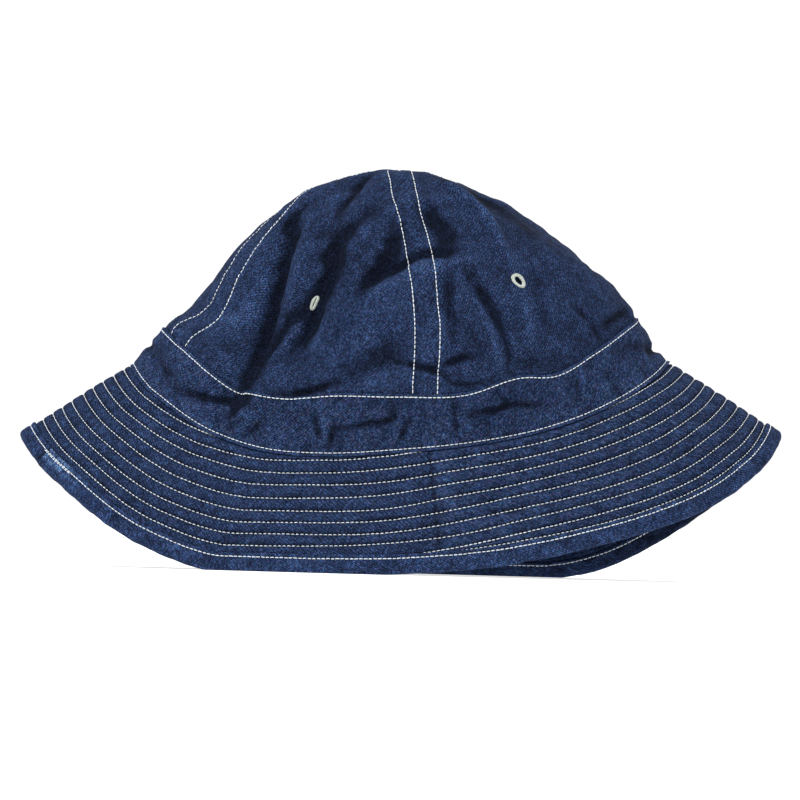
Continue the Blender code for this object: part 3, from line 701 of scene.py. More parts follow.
def eyelet_path(panel):
    """The ring of stitches round the panel's eyelet, pinched and leaning like its hole."""
    middle, height, pace, rise = eyelet_scale(panel)
    turn = np.radians(np.linspace(0, 360, 73))
    across = EYELET_RING * panel.pinch * np.cos(turn)
    up = EYELET_RING * EYELET_STRETCH * np.sin(turn)
    lean = math.radians(panel.lean)
    azimuth = middle + (across * math.cos(lean) + up * math.sin(lean)) / pace
    level = height + (up * math.cos(lean) - across * math.sin(lean)) / rise
    point, normal, _ = crown_surface(azimuth, level)
    return point, normal


def brim_frame(azimuth):
    """The brim's upper edge, its way down and its normal at each azimuth, and its width there."""
    start = plain_point(azimuth, np.zeros_like(azimuth))
    end = plain_point(azimuth, -np.ones_like(azimuth))
    width = np.linalg.norm(end - start, axis=-1)
    way = (end - start) / width[..., None]
    middle = -0.5 * np.ones_like(azimuth)
    across = plain_point(azimuth + 0.5, middle) - plain_point(azimuth - 0.5, middle)
    return start, way, unit(np.cross(way, across)), width


def brim_lift(share):
    """How far the brim's middle lies over the straight line down it, at this share of its width."""
    return BRIM_BOW * 4 * share * (1 - share) - BRIM_WALL / 2 * (1 - share)


def quilt_share(turned):
    """How far down the brim the spiral of quilting lies. Turned is its azimuth, counted on past 360."""
    knots, shares = [-400, -60], [BINDING_ROW + 0.03, BINDING_ROW + 0.02]
    for turn in range(QUILT_ROWS + 1):
        row = QUILT_ROWS - turn
        for azimuth, places in QUILT_COURSE:
            knots.append(360 * turn + azimuth)
            shares.append(places[row - 1] if row > 0 else -0.05)
    return smooth_curve(np.array(knots, float), np.array(shares), turned)


def quilt_rows(azimuth):
    """The share of each row of quilting at these azimuths, from the brim seam outwards."""
    return np.stack([quilt_share(azimuth + 360 * turn) for turn in range(QUILT_ROWS, -2, -1)], -1)


def brim_relief(azimuth, share, width, place):
    """Height of the quilting's ribs and puckers, and the wear with painted shade, at this share of the way
    down the brim.
    """
    rows = quilt_rows(np.mod(azimuth, 360))
    above = np.max(np.where(rows <= share[..., None], rows, -0.05), axis=-1)
    below = np.min(np.where(rows > share[..., None], rows, 0.97), axis=-1)
    gap = np.maximum(below - above, 1e-4)
    t = np.clip((share - above) / gap, 0, 1)
    size = np.clip(gap * width / QUILT_PITCH, 0, 1.1)
    rib = (4 * t * (1 - t)) ** 0.45
    nearest = np.minimum(t, 1 - t) * gap * width
    _, wear, (puckers, crumples) = uneven("brim", place)
    pucker, crumple = RIPPLES["brim"]
    relief = (RIB_HEIGHT * rib - RIB_GROOVE * bell(nearest, 0, 0.45 * MM)) * size
    relief = relief + (pucker.height * puckers * rib + crumple.height * crumples) * MM
    band_end = BAND_FOOT_EDGE / BRIM_WIDTH
    ribbed = smooth_step(share, band_end, band_end + 0.02) * (1 - smooth_step(share, *RIBS_END))
    relief = relief * ribbed - BRIM_UNDER_BAND * (1 - smooth_step(share, 0.018, 0.040))
    # The ribs' crests are paler, partly wear and partly painted highlight; painted shade lies in the groove
    # at each row and just inside the next row out
    wear = wear + 0.30 * (rib - 0.7) + traced(nearest, QUILT_GROOVE_SHADE) - 0.30 * bell(t, 0.9, 0.16)
    for joint in BRIM_JOINTS:
        turn = turn_from(joint, azimuth)
        relief = relief - 0.10 * MM * bell(turn, 0, 0.35)
        wear = wear - 0.75 * bell(turn, 0, 0.3) + 0.28 * bell(turn, 2.6, 1.8)
    return relief, wear


def brim_surface(azimuth, share, side=1):
    """Outer point, normal, and wear with painted shade, of the brim's upper face (side 1) or its under face
    (side -1), which is painted darker as shade.
    """
    azimuth, share = both_arrays(azimuth, share)
    start, way, normal, width = brim_frame(azimuth)
    middle = start + way * (share * width)[..., None]
    relief, wear = brim_relief(azimuth, share, width, middle + 0.05 * side)
    if side < 0:
        relief = np.maximum(relief, -0.2 * MM)
        # The under face gets painted shade
        wear = wear - 0.95
    height = brim_lift(share) + side * (BRIM_WALL / 2 - 0.25 * MM + relief)
    point = middle + normal * height[..., None]
    point[..., 2] = np.maximum(point[..., 2], 0)
    return point, normal * side, wear


def brim_shares(azimuth):
    """The brim's grid across: its lines follow the quilting, closer together beside each row."""
    rows = quilt_rows(azimuth[:, 0])
    # Under the band, where the rows run together, the grid's lines are kept apart
    rows[:, 0] = 0.0025
    rows[:, 1] = np.maximum(rows[:, 1], 0.026)
    rows[:, 2:] = np.maximum(rows[:, 2:], rows[:, 1:2] + 0.012 * np.arange(1, rows.shape[1] - 1))
    within = np.array((0, 0.05, 0.14, 0.30, 0.5, 0.70, 0.86, 0.95))
    gaps = np.diff(rows, axis=1)
    lines = rows[:, :-1, None] + gaps[..., None] * within
    last = rows[:, -1:]
    rim = last + (BRIM_CLOTH_END - last) * np.array((0, 0.3, 0.7, 0.93, 1))
    return np.concatenate([lines.reshape(len(rows), -1), rim], 1)


def binding_outside():
    """From the middle of the brim's edge to the tape's outer face."""
    return BRIM_WALL / 2 + CLEARANCE + BINDING_WALL


def binding_total():
    """The tape's width, from its upper edge round the rim to its under edge."""
    return 2 * (BINDING_WIDTH - binding_outside()) + math.pi * binding_outside()


def binding_surface(azimuth, travel):
    """The tape's outer face. Travel goes in metres from its upper edge round the rim to its under edge."""
    azimuth, travel = both_arrays(azimuth, travel)
    start, way, normal, width = brim_frame(azimuth)
    outside = binding_outside()
    flat = BINDING_WIDTH - outside
    edge = np.minimum(travel, binding_total() - travel)
    turn = np.clip((travel - flat) / outside, 0, math.pi)
    down = width - BINDING_WIDTH + np.minimum(edge, flat) + outside * np.sin(turn)
    outward = way * np.sin(turn)[..., None] + normal * np.cos(turn)[..., None]
    share = down / width
    lift = outside * np.cos(turn) + brim_lift(share)
    point = start + way * down[..., None] + normal * lift[..., None]

    first, last = TAPE_JOINT
    lapped = smooth_step(azimuth, first, first + 0.4) * (1 - smooth_step(azimuth, last + 5, last + 12))
    below = (share - BINDING_ROW) * width
    stitch = np.abs(below)
    height, wear, (puckers, _, crumples) = uneven("tape", point, bell(stitch, 0, 3.2 * MM))
    height = height + 0.10 * MM + TAPE_LAP * lapped - TAPE_GROOVE * bell(stitch, 0, 0.6 * MM)
    height = height - 0.7 * edge_drop(edge)
    # Where the rim stands on the floor, it is pressed smooth
    height = np.where(point[..., 2] < 1.5 * MM, np.minimum(height, 0), height)
    wear = wear + traced(stitch, TAPE_STITCH_GROOVE_SHADE) + traced(edge, TAPE_EDGE_TRACES) + 0.12 * np.sin(turn)

    # The lapped joint is worn pale along the stitches, behind a dark line. The tape's under side gets painted
    # shade, darkest at the back right, in the hollow under the front brim.
    on_top = turn < math.pi / 2
    rubbed = smooth_step(below, -3.4 * MM, -2.0 * MM) * (1 - smooth_step(below, 2.6 * MM, 4.6 * MM))
    rubbed = rubbed * (1 - 0.6 * bell(stitch, 0, 0.8 * MM)) * (1 + 0.4 * puckers + 0.3 * crumples)
    fading = 1 - smooth_step(azimuth, first + 3.0, last + 8.5)
    wear = wear + (1.75 * rubbed * lapped * fading - 1.3 * bell(azimuth, first, 0.5)) * on_top
    forward, right = -np.cos(np.radians(azimuth)), np.sin(np.radians(azimuth))
    painted_hollow_shade = smooth_step(forward, 0.2, 0.4) * smooth_step(right, 0.46, 0.82)
    wear = wear - (0.15 + 0.75 * painted_hollow_shade) * (1 - on_top)
    point = point + outward * height[..., None]
    point[..., 2] = np.maximum(point[..., 2], 0)
    return point, outward, wear


def lengths(points, axis):
    """Distance along the grid's rows or columns, from their first point."""
    steps = np.linalg.norm(np.diff(points, axis=axis), axis=-1)
    first = np.zeros_like(np.take(steps, [0], axis=axis))
    return np.concatenate([first, np.cumsum(steps, axis=axis)], axis=axis)


def cloth_places(points, offset):
    """Where each point lies on the flat cloth, in metres. The offset gives each piece its own stretch."""
    across = lengths(points, 0)
    across = across - across[points.shape[0] // 2]
    up = lengths(points, 1)
    return np.stack([across, up, np.full_like(up, offset)], -1)


def finish_mesh(name, vertices, faces, attributes, surface):
    """A smooth piece of one material, with these attributes at its points."""
    mesh = bpy.data.meshes.new(name)
    mesh.from_pydata(vertices.tolist(), [], faces.tolist())
    for key, values in attributes.items():
        kind, slot = ("FLOAT", "value") if values.ndim == 1 else ("FLOAT_VECTOR", "vector")
        layer = mesh.attributes.new(key, kind, "POINT")
        layer.data.foreach_set(slot, values.astype(np.float32).ravel())
    mesh.materials.append(surface)
    mesh.shade_smooth()
    mesh.set_sharp_from_angle(angle=math.radians(50))
    mesh.validate()
    piece = bpy.data.objects.new(name, mesh)
    bpy.context.scene.collection.objects.link(piece)
    return piece


def shell(name, outer, inner, places, wear, surface, keep=None, ring=False):
    """A closed cloth from the grids of its two faces. Keep says which cells are cloth and not hole."""
    columns, rows = outer.shape[:2]
    count = columns * rows
    spans = columns if ring else columns - 1
    index = np.arange(count).reshape(columns, rows)
    here, after = index[:spans], np.roll(index, -1, axis=0)[:spans]
    quads = np.stack([here[:, :-1], after[:, :-1], after[:, 1:], here[:, 1:]], -1)
    quads = quads.reshape(-1, 4) if keep is None else quads[keep]
    edges = np.concatenate([quads[:, [i, (i + 1) % 4]] for i in range(4)])
    from_to, to_from = edges @ (count, 1), edges @ (1, count)
    first, second = edges[~np.isin(from_to, to_from)].T
    walls = np.stack([second, first, first + count, second + count], -1)
    faces = np.concatenate([quads, quads[:, ::-1] + count, walls])
    places = places.reshape(-1, 3)
    vertices = np.concatenate([outer.reshape(-1, 3), inner.reshape(-1, 3)])
    used, renumbered = np.unique(faces, return_inverse=True)
    attributes = {
        "cloth": np.concatenate([places, places + (0.3, 0, 0.1)])[used],
        "wear": np.concatenate([wear.ravel(), wear.ravel() * 0.3])[used],
    }
    return finish_mesh(name, vertices[used], renumbered.reshape(faces.shape), attributes, surface)


def gore_columns(panel, level):
    """Azimuths of a gore's grid. Near its seams its columns keep their distances from them."""
    first, last = seam_azimuth(panel.from_seam, level), seam_azimuth(panel.to_seam, level)
    first_pace, last_pace, pace = (paces(a, level)[0] for a in (first, last, (first + last) / 2))
    half = (last - first) * pace / 2
    near = np.array((0, 0.3, 0.8, 1.7, 2.9, 4.1, 4.9, 5.4, 5.9, 6.6, 7.6))[:, None] * MM
    near = near * np.minimum(1, half / (20 * MM))
    left = first + near * panel.from_seam.spread / first_pace
    right = last - near * panel.to_seam.spread / last_pace
    t = np.linspace(0, 1, panel.columns - 2 * len(near) + 2)[1:-1, None]
    return np.concatenate([left, left[-1] + (right[-1] - left[-1]) * t, right[::-1]])


def linear(colour):
    """An sRGB hex colour as linear RGBA."""
    parts = [int(colour[i : i + 2], 16) / 255 for i in (1, 3, 5)]
    return (*[p / 12.92 if p <= 0.04045 else ((p + 0.055) / 1.055) ** 2.4 for p in parts], 1)


def add(tree, kind, links=None, values=None, stops=(), **settings):
    """Adds a node with its settings, links, other values and colour stops, and returns its outputs."""
    node = tree.nodes.new(kind)
    for key, value in settings.items():
        setattr(node, key, value)
    for key, value in (values or {}).items():
        node.inputs[key].default_value = value
    for key, socket in (links or {}).items():
        tree.links.new(socket, node.inputs[key])
    if stops:
        elements = node.color_ramp.elements
        while len(elements) < len(stops):
            elements.new(1)
        for element, (place, colour) in zip(elements, stops):
            element.position = place
            element.color = colour
    return node.outputs


def grey(value):
    return (value, value, value, 1)


def shaded(colour, share):
    """The colour made lighter or darker by this share, as linear RGBA."""
    return (*[min(part * share, 1) for part in colour[:3]], 1)


def denim(name, strength, turn, twill_pitch):
    """Twill of indigo warp over white weft: matt, unevenly dyed, pale on edges with wear, with painted shade
    in creases, grooves and under faces.
    """
    made = bpy.data.materials.new(name)
    made.use_nodes = True
    tree = made.node_tree
    shader = tree.nodes["Principled BSDF"].inputs
    cloth = add(tree, "ShaderNodeAttribute", attribute_name="cloth")["Vector"]
    wear = add(tree, "ShaderNodeAttribute", attribute_name="wear")["Fac"]
    # Real 10 oz denim has a twill line every 0.6 mm. It is drawn a little coarser, so that the render shows
    # it. A wave texture repeats every pi / 10 of its scaled length.
    slant = {"Rotation": (0, 0, math.radians(turn))}
    slanted = add(tree, "ShaderNodeMapping", {"Vector": cloth}, slant)["Vector"]
    lines = {"Scale": math.pi / 10 / twill_pitch, "Distortion": 1.0, "Detail": 1.0, "Detail Scale": 1.5}
    twill = add(tree, "ShaderNodeTexWave", {"Vector": slanted}, lines)["Fac"]
    # Yarns: each float of the warp is about 0.5 mm wide and 0.9 mm long, and takes the dye in its own way
    float_size = {"Scale": (1 / (0.52 * MM), 1 / (0.85 * MM), 1 / (0.85 * MM))}
    floats = add(tree, "ShaderNodeMapping", {"Vector": cloth}, float_size)["Vector"]
    yarn = add(tree, "ShaderNodeTexVoronoi", {"Vector": floats}, {"Scale": 1.0}, voronoi_dimensions="2D")
    dye = add(tree, "ShaderNodeSeparateColor", {"Color": yarn["Color"]})["Red"]
    # Slubs: the warp's thick and thin places, about 0.9 mm wide and 3 mm long
    slub_size = {"Scale": (1 / (0.9 * MM), 1 / (3.2 * MM), 1 / (0.9 * MM))}
    slubs = add(tree, "ShaderNodeMapping", {"Vector": cloth}, slub_size)["Vector"]
    slub = add(tree, "ShaderNodeTexNoise", {"Vector": slubs}, {"Scale": 1.0, "Detail": 2.0})["Fac"]
    # Flecks of white weft, about 0.6 mm apart
    fleck_size = {"Scale": 1 / (0.6 * MM), "Detail": 2.0}
    fleck = add(tree, "ShaderNodeTexNoise", {"Vector": cloth}, fleck_size)["Fac"]
    # Cloudy dye, in patches of 5 to 12 mm, and a tint that drifts between violet and teal every 1.5 mm
    cloud_size = {"Scale": 1 / (11 * MM), "Detail": 3.0, "Roughness": 0.7}
    cloud = add(tree, "ShaderNodeTexNoise", {"Vector": cloth}, cloud_size)["Fac"]
    cloudiness = {"From Min": 0.3, "From Max": 0.7, "To Min": -0.18, "To Max": 0.18}
    cloudy = add(tree, "ShaderNodeMapRange", {"Value": cloud}, cloudiness)["Result"]
    drift_size = {"Scale": 1 / (1.5 * MM), "Detail": 1.0}
    drift = add(tree, "ShaderNodeTexNoise", {"Vector": cloth}, drift_size)["Fac"]
    indigo = shaded(bpy.context.scene.hat_cloth.indigo, strength)
    violet, teal = shaded(linear("#1e2547"), strength), shaded(linear("#152947"), strength)
    tints = ((0.34, violet), (0.5, indigo), (0.66, teal))
    dyed = add(tree, "ShaderNodeValToRGB", {"Fac": drift}, stops=tints)["Color"]
    # The dye is multiplied by these patterns, mixed with the flecks and multiplied by the cloth's wear and
    # painted shade
    weave = (
        (twill, ((0.15, grey(0.55)), (0.85, grey(1.47)))),
        (dye, ((0.0, grey(0.36)), (0.68, grey(0.88)), (1.0, (2.6, 2.3, 2.05, 1)))),
        (slub, ((0.30, grey(0.89)), (0.70, grey(1.11)))),
    )
    multiply = {"data_type": "RGBA", "blend_type": "MULTIPLY"}
    for pattern, stops in weave:
        shares = add(tree, "ShaderNodeValToRGB", {"Fac": pattern}, stops=stops)["Color"]
        dyed = add(tree, "ShaderNodeMix", {6: dyed, 7: shares}, {0: 1.0}, **multiply)[2]
    white_shares = ((0.52, grey(0.0)), (0.74, grey(0.30)))
    white = add(tree, "ShaderNodeValToRGB", {"Fac": fleck}, stops=white_shares)["Color"]
    dyed = add(tree, "ShaderNodeMix", {0: white, 6: dyed}, {7: linear("#75809a")}, data_type="RGBA")[2]
    worn_and_shaded = add(tree, "ShaderNodeMath", {0: wear, 1: cloudy}, operation="ADD")["Value"]
    tones = {"From Min": -1.0, "From Max": 1.6, "To Min": 0.0, "To Max": 1.0}
    tone = add(tree, "ShaderNodeMapRange", {"Value": worn_and_shaded}, tones)["Result"]
    # Below the middle tone the cloth is darkened as painted shade; above it, it is paled by wear and by
    # painted highlight on ridges and pucker tops
    fading = (
        (0.0, grey(0.24)),
        (0.385, grey(1.0)),
        (0.62, (1.5, 1.55, 1.5, 1)),
        (0.82, (1.9, 1.95, 1.8, 1)),
        (1.0, (3.9, 4.0, 2.9, 1)),
    )
    faded_and_shaded = add(tree, "ShaderNodeValToRGB", {"Fac": tone}, stops=fading)["Color"]
    finished = add(tree, "ShaderNodeMix", {6: dyed, 7: faded_and_shaded}, {0: 1.0}, **multiply)[2]
    tree.links.new(finished, shader["Base Color"])
    height = add(tree, "ShaderNodeMath", {0: slub, 1: yarn["Distance"]}, operation="SUBTRACT")["Value"]
    bumps = add(tree, "ShaderNodeBump", {"Height": height}, {"Strength": 0.35, "Distance": 0.15 * MM})
    tree.links.new(bumps["Normal"], shader["Normal"])
    shader["Roughness"].default_value = 0.92
    shader["Specular IOR Level"].default_value = 0.07
    shader["Sheen Weight"].default_value = 0.015
    shader["Sheen Roughness"].default_value = 0.6
    shader["Sheen Tint"].default_value = linear("#8fa6d6")
    return made


def cotton_thread(name, colour, shade):
    """Spun cotton thread, matt and slightly hairy, with painted shade, a little greyer, in the low places
    between its plies.
    """
    made = bpy.data.materials.new(name)
    made.use_nodes = True
    tree = made.node_tree
    shader = tree.nodes["Principled BSDF"].inputs
    place = add(tree, "ShaderNodeTexCoord")["Object"]
    ply_size = {"Scale": 1 / (0.5 * MM), "Detail": 2.0}
    plies = add(tree, "ShaderNodeTexNoise", {"Vector": place}, ply_size)["Fac"]
    # The low places of the ply bumps get the painted shade colour
    tints = ((0.3, linear(shade)), (0.6, linear(colour)))
    tint = add(tree, "ShaderNodeValToRGB", {"Fac": plies}, stops=tints)["Color"]
    tree.links.new(tint, shader["Base Color"])
    bumps = add(tree, "ShaderNodeBump", {"Height": plies}, {"Strength": 0.4, "Distance": 0.1 * MM})
    tree.links.new(bumps["Normal"], shader["Normal"])
    shader["Roughness"].default_value = 0.75
    shader["Specular IOR Level"].default_value = 0.3
    return made


def sewing_tree():
    """Geometry Nodes that lay a stitch at each pitch along a path, standing on its "up" attribute."""
    tree = bpy.data.node_groups.new("sewn stitches", "GeometryNodeTree")
    sockets = (
        ("Path", "Geometry"),
        ("Pitch", "Float"),
        ("Stitch Length", "Float"),
        ("Thread Width", "Float"),
        ("Rise", "Float"),
        ("Turn", "Float"),
        ("Unevenness", "Float"),
        ("Bends", "Int"),
        ("Sides", "Int"),
        ("Seed", "Int"),
        ("Thread", "Material"),
    )
    for name, kind in sockets:
        tree.interface.new_socket(name, in_out="INPUT", socket_type=f"NodeSocket{kind}")
    tree.interface.new_socket("Stitches", in_out="OUTPUT", socket_type="NodeSocketGeometry")
    given = add(tree, "NodeGroupInput")

    # One stitch: a thread that arches from end to end and sinks into the cloth at both
    length, width = given["Stitch Length"], given["Thread Width"]
    half = add(tree, "ShaderNodeMath", {0: length}, {1: 0.5}, operation="MULTIPLY")[0]
    back = add(tree, "ShaderNodeMath", {0: length}, {1: -0.5}, operation="MULTIPLY")[0]
    sunk = add(tree, "ShaderNodeMath", {0: width}, {1: -0.45}, operation="MULTIPLY")[0]
    radius = add(tree, "ShaderNodeMath", {0: width}, {1: 0.5}, operation="MULTIPLY")[0]
    start = add(tree, "ShaderNodeCombineXYZ", {"X": back, "Z": sunk})[0]
    middle = add(tree, "ShaderNodeCombineXYZ", {"Z": given["Rise"]})[0]
    end = add(tree, "ShaderNodeCombineXYZ", {"X": half, "Z": sunk})[0]
    arch = {"Resolution": given["Bends"], "Start": start, "Middle": middle, "End": end}
    arc = add(tree, "GeometryNodeCurveQuadraticBezier", arch)["Curve"]
    section = {"Resolution": given["Sides"], "Radius": radius}
    loop = add(tree, "GeometryNodeCurvePrimitiveCircle", section)["Curve"]
    swept = {"Curve": arc, "Profile Curve": loop}
    tube = add(tree, "GeometryNodeCurveToMesh", swept, {"Fill Caps": True})["Mesh"]
    stitch = add(tree, "GeometryNodeSetShadeSmooth", {"Geometry": tube})["Geometry"]

    # Where the stitches lie: along the path, upright on the cloth, each a little askew and uneven in size
    path = add(tree, "GeometryNodeMeshToCurve", {"Mesh": given["Path"]})["Curve"]
    spaced = {"Curve": path, "Length": given["Pitch"]}
    places = add(tree, "GeometryNodeResampleCurve", spaced, mode="LENGTH")["Curve"]
    tangent = add(tree, "GeometryNodeInputTangent")[0]
    up_name = {"Name": "up"}
    up = add(tree, "GeometryNodeInputNamedAttribute", values=up_name, data_type="FLOAT_VECTOR")["Attribute"]
    along = add(tree, "FunctionNodeAlignRotationToVector", {"Vector": tangent}, axis="X")[0]
    risen = {"Rotation": along, "Vector": up}
    upright = add(tree, "FunctionNodeAlignRotationToVector", risen, axis="Z", pivot_axis="X")[0]
    uneven_by = {"Scale": given["Unevenness"]}
    low = add(tree, "ShaderNodeVectorMath", uneven_by, {0: (-0.1, -0.1, -1)}, operation="SCALE")[0]
    high = add(tree, "ShaderNodeVectorMath", uneven_by, {0: (0.1, 0.1, 1)}, operation="SCALE")[0]
    chances = {"Min": low, "Max": high, "Seed": given["Seed"]}
    chance = add(tree, "FunctionNodeRandomValue", chances, data_type="FLOAT_VECTOR")["Value"]
    turn = add(tree, "ShaderNodeCombineXYZ", {"Z": given["Turn"]})[0]
    swing = add(tree, "ShaderNodeVectorMath", {0: chance, 1: turn}, operation="ADD")[0]
    twist = add(tree, "FunctionNodeEulerToRotation", {"Euler": swing})[0]
    twisted = {"Rotation": upright, "Rotate By": twist}
    rotated = add(tree, "FunctionNodeRotateRotation", twisted, rotation_space="LOCAL")[0]
    sizes = {"Min": (0.9, 0.9, 0.85), "Max": (1.1, 1.1, 1.15)}
    seed = {"Seed": given["Seed"]}
    scale = add(tree, "FunctionNodeRandomValue", seed, sizes, data_type="FLOAT_VECTOR")["Value"]
    laid = {"Points": places, "Instance": stitch, "Rotation": rotated, "Scale": scale}
    copies = add(tree, "GeometryNodeInstanceOnPoints", laid)["Instances"]
    real = add(tree, "GeometryNodeRealizeInstances", {"Geometry": copies})["Geometry"]
    finish = {"Geometry": real, "Material": given["Thread"]}
    dressed = add(tree, "GeometryNodeSetMaterial", finish)["Geometry"]
    add(tree, "NodeGroupOutput", {"Stitches": dressed})
    return tree


def laid_on(path, pieces):
    """The path dropped onto the outer face of these pieces, so that no stitch is buried or stands off."""
    graph = bpy.context.evaluated_depsgraph_get()
    trees = [BVHTree.FromObject(piece, graph) for piece in pieces]
    laid = []
    for point, up in zip(*path):
        above = Vector(point) + Vector(up) * 1.5 * MM
        hits = [tree.ray_cast(above, -Vector(up), 4 * MM) for tree in trees]
        hits = [hit for hit in hits if hit[0] is not None]
        laid.append(tuple(min(hits, key=lambda hit: hit[3])[0]) if hits else tuple(point))
    return np.array(laid), path[1]


def sew(name, paths, on, thread, seed, bends=3, sides=5, **sizes):
    """A piece of real stitches on other pieces, along paths of points with the cloth's normals there."""
    tree = bpy.data.node_groups.get("sewn stitches") or sewing_tree()
    paths = [laid_on(path, on) for path in paths]
    points = np.concatenate([path for path, _ in paths])
    ups = np.concatenate([up for _, up in paths])
    edges, first = [], 0
    for path, _ in paths:
        edges += [(first + i, first + i + 1) for i in range(len(path) - 1)]
        first += len(path)
    mesh = bpy.data.meshes.new(name)
    mesh.from_pydata(points.tolist(), edges, [])
    layer = mesh.attributes.new("up", "FLOAT_VECTOR", "POINT")
    layer.data.foreach_set("vector", ups.astype(np.float32).ravel())
    piece = bpy.data.objects.new(name, mesh)
    bpy.context.scene.collection.objects.link(piece)
    modifier = piece.modifiers.new("stitches", "NODES")
    modifier.node_group = tree
    given = {"Thread": thread, "Seed": seed, "Bends": bends, "Sides": sides, "Turn": 0.0, **sizes}
    for item in tree.interface.items_tree:
        if item.in_out == "INPUT" and item.name in given:
            modifier[item.identifier] = given[item.name]
    graph = bpy.context.evaluated_depsgraph_get()
    made = bpy.data.meshes.new_from_object(piece.evaluated_get(graph))
    piece.modifiers.clear()
    piece.data = made
    made.name = name
    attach(piece, "root")
    return piece


class HatCloth(bpy.types.PropertyGroup):
    indigo: FloatVectorProperty(
        name="Indigo",
        description="Colour of the denim",
        subtype="COLOR",
        size=4,
        min=0,
        max=1,
        default=linear("#162747"),
    )
    twill_pitch: FloatProperty(
        name="Twill pitch",
        description="Distance between the weave's diagonal lines",
        subtype="DISTANCE",
        default=0.95 * MM,
    )
    crown_rows: IntProperty(
        name="Crown rows",
        description="How many rows of faces a crown panel has from its foot to the point",
        default=122,
    )


class HatStitching(bpy.types.PropertyGroup):
    pitch: FloatProperty(
        name="Pitch",
        description="Distance from one stitch to the next",
        subtype="DISTANCE",
        default=2.05 * MM,
    )
    length: FloatProperty(
        name="Stitch length",
        description="Length of the thread that shows",
        subtype="DISTANCE",
        default=1.62 * MM,
    )
    width: FloatProperty(
        name="Thread width",
        description="Thickness of the topstitching thread",
        subtype="DISTANCE",
        default=0.45 * MM,
    )


class HatStage(bpy.types.PropertyGroup):
    camera_distance: FloatProperty(
        name="Camera distance",
        description="How far in front of the hat the camera stands",
        subtype="DISTANCE",
        default=5.0,
    )
    camera_height: FloatProperty(
        name="Camera height",
        description="How high the camera is above the floor",
        subtype="DISTANCE",
        default=0.025,
    )
    daylight: FloatProperty(
        name="Daylight",
        description="Brightness of the light from all round",
        default=0.42,
    )
    window: FloatProperty(
        name="Window light",
        description="Strength of the soft light from the upper left",
        default=2.6,
    )


def material_named(name):
    """The hat's finishes, each made once."""
    if name in bpy.data.materials:
        return bpy.data.materials[name]
    if name in DENIMS:
        return denim(name, *DENIMS[name], bpy.context.scene.hat_cloth.twill_pitch)
    return cotton_thread(name, *THREADS[name])


def dress(piece, node):
    """Puts the piece on the root body and hides the node of the solids that it dresses."""
    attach(piece, "root")
    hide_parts(node)
    return piece


class OBJECT_OT_hat_crown(bpy.types.Operator):
    """Makes the crown's four gores of denim, each with its two seams and the hole of its eyelet"""

    bl_idname = "object.hat_crown"
    bl_label = "Make the crown panels"

    def execute(self, context):
        rows = context.scene.hat_cloth.crown_rows
        surface = material_named("indigo denim")
        foot = 1 - BAND_LAP / BAND_WIDTH
        # Rows under the band, rows up the crown, and one that all but closes the apex
        level = np.concatenate([np.linspace(foot, 0.99, 4), np.linspace(1, 1.996, rows), [1.9996]])
        for number, panel in enumerate(PANELS):
            azimuth = gore_columns(panel, level)
            levels = np.broadcast_to(level, azimuth.shape)
            outer, normal, wear = crown_surface(azimuth, levels)
            inner = outer - normal * CROWN_WALL
            places = cloth_places(outer, number)
            away = eyelet_hole(panel, azimuth, levels)
            keep = (away[:-1, :-1] + away[1:, 1:]) / 2 > EYELET_HOLE
            piece = shell(f"crown_cloth_{panel.name}", outer, inner, places, wear, surface, keep)
            dress(piece, f"crown_panel_{panel.name}")
        return {"FINISHED"}


class OBJECT_OT_hat_band(bpy.types.Operator):
    """Makes the band round the head, lapped over the crown's foot and stitched along both edges"""

    bl_idname = "object.hat_band"
    bl_label = "Make the band"

    def execute(self, context):
        azimuth = np.linspace(-180, 180, 577)[:-1, None]
        # The grid's rows, from past the foot's stitches to past the top's
        foot = -BAND_FOOT_EDGE / MM + np.array((0, 0.05, 0.2, 0.45, 0.9, 1.4))
        top = 1 + BAND_TOP_EDGE / MM - np.array((0.95, 0.45, 0.2, 0.05, 0))
        place = np.concatenate([foot, (0, 0.02), np.linspace(0.05, 0.95, 18), (0.98, 1), top])
        outer, normal, wear = band_surface(azimuth, place)
        inner = outer - normal * BAND_WALL
        places, surface = cloth_places(outer, 7), material_named("indigo denim")
        piece = shell("band_cloth", outer, inner, places, wear, surface, ring=True)
        dress(piece, "crown_band")
        return {"FINISHED"}


class OBJECT_OT_hat_brim(bpy.types.Operator):
    """Makes the brim's two halves of doubled, quilted denim"""

    bl_idname = "object.hat_brim"
    bl_label = "Make the quilted brim"

    def execute(self, context):
        surface = material_named("indigo denim for the brim")
        front, back = BRIM_JOINTS
        for name, first, last, offset in (("right", front, back, 11), ("left", back, front + 360, 12)):
            azimuth = np.linspace(first, last, 351)[:, None]
            share = brim_shares(azimuth)
            outer, _, wear = brim_surface(azimuth, share)
            inner, _, _ = brim_surface(azimuth, share, side=-1)
            piece = shell(f"brim_cloth_{name}", outer, inner, cloth_places(outer, offset), wear, surface)
            dress(piece, f"brim_{name}")
        return {"FINISHED"}


class OBJECT_OT_hat_binding(bpy.types.Operator):
    """Makes the bias tape folded over the brim's edge, with its lapped joint"""

    bl_idname = "object.hat_binding"
    bl_label = "Make the bound edge"

    def execute(self, context):
        azimuth = np.linspace(-180, 180, 781)[:-1, None]
        total = binding_total()
        near = np.array([0, 0.1, 0.3, 0.6]) * MM
        travel = np.concatenate([near, np.linspace(1.0 * MM, total - 1.0 * MM, 22), total - near[::-1]])
        outer, outward, wear = binding_surface(azimuth, travel)
        inner = outer - outward * (BINDING_WALL * 0.9)
        # These rows go down the hat, so they are turned round, for faces that look outwards
        rows = [grid[:, ::-1] for grid in (outer, inner, cloth_places(outer, 21), wear)]
        piece = shell("binding_tape", *rows, material_named("indigo denim bias tape"), ring=True)
        dress(piece, "brim_binding")
        return {"FINISHED"}


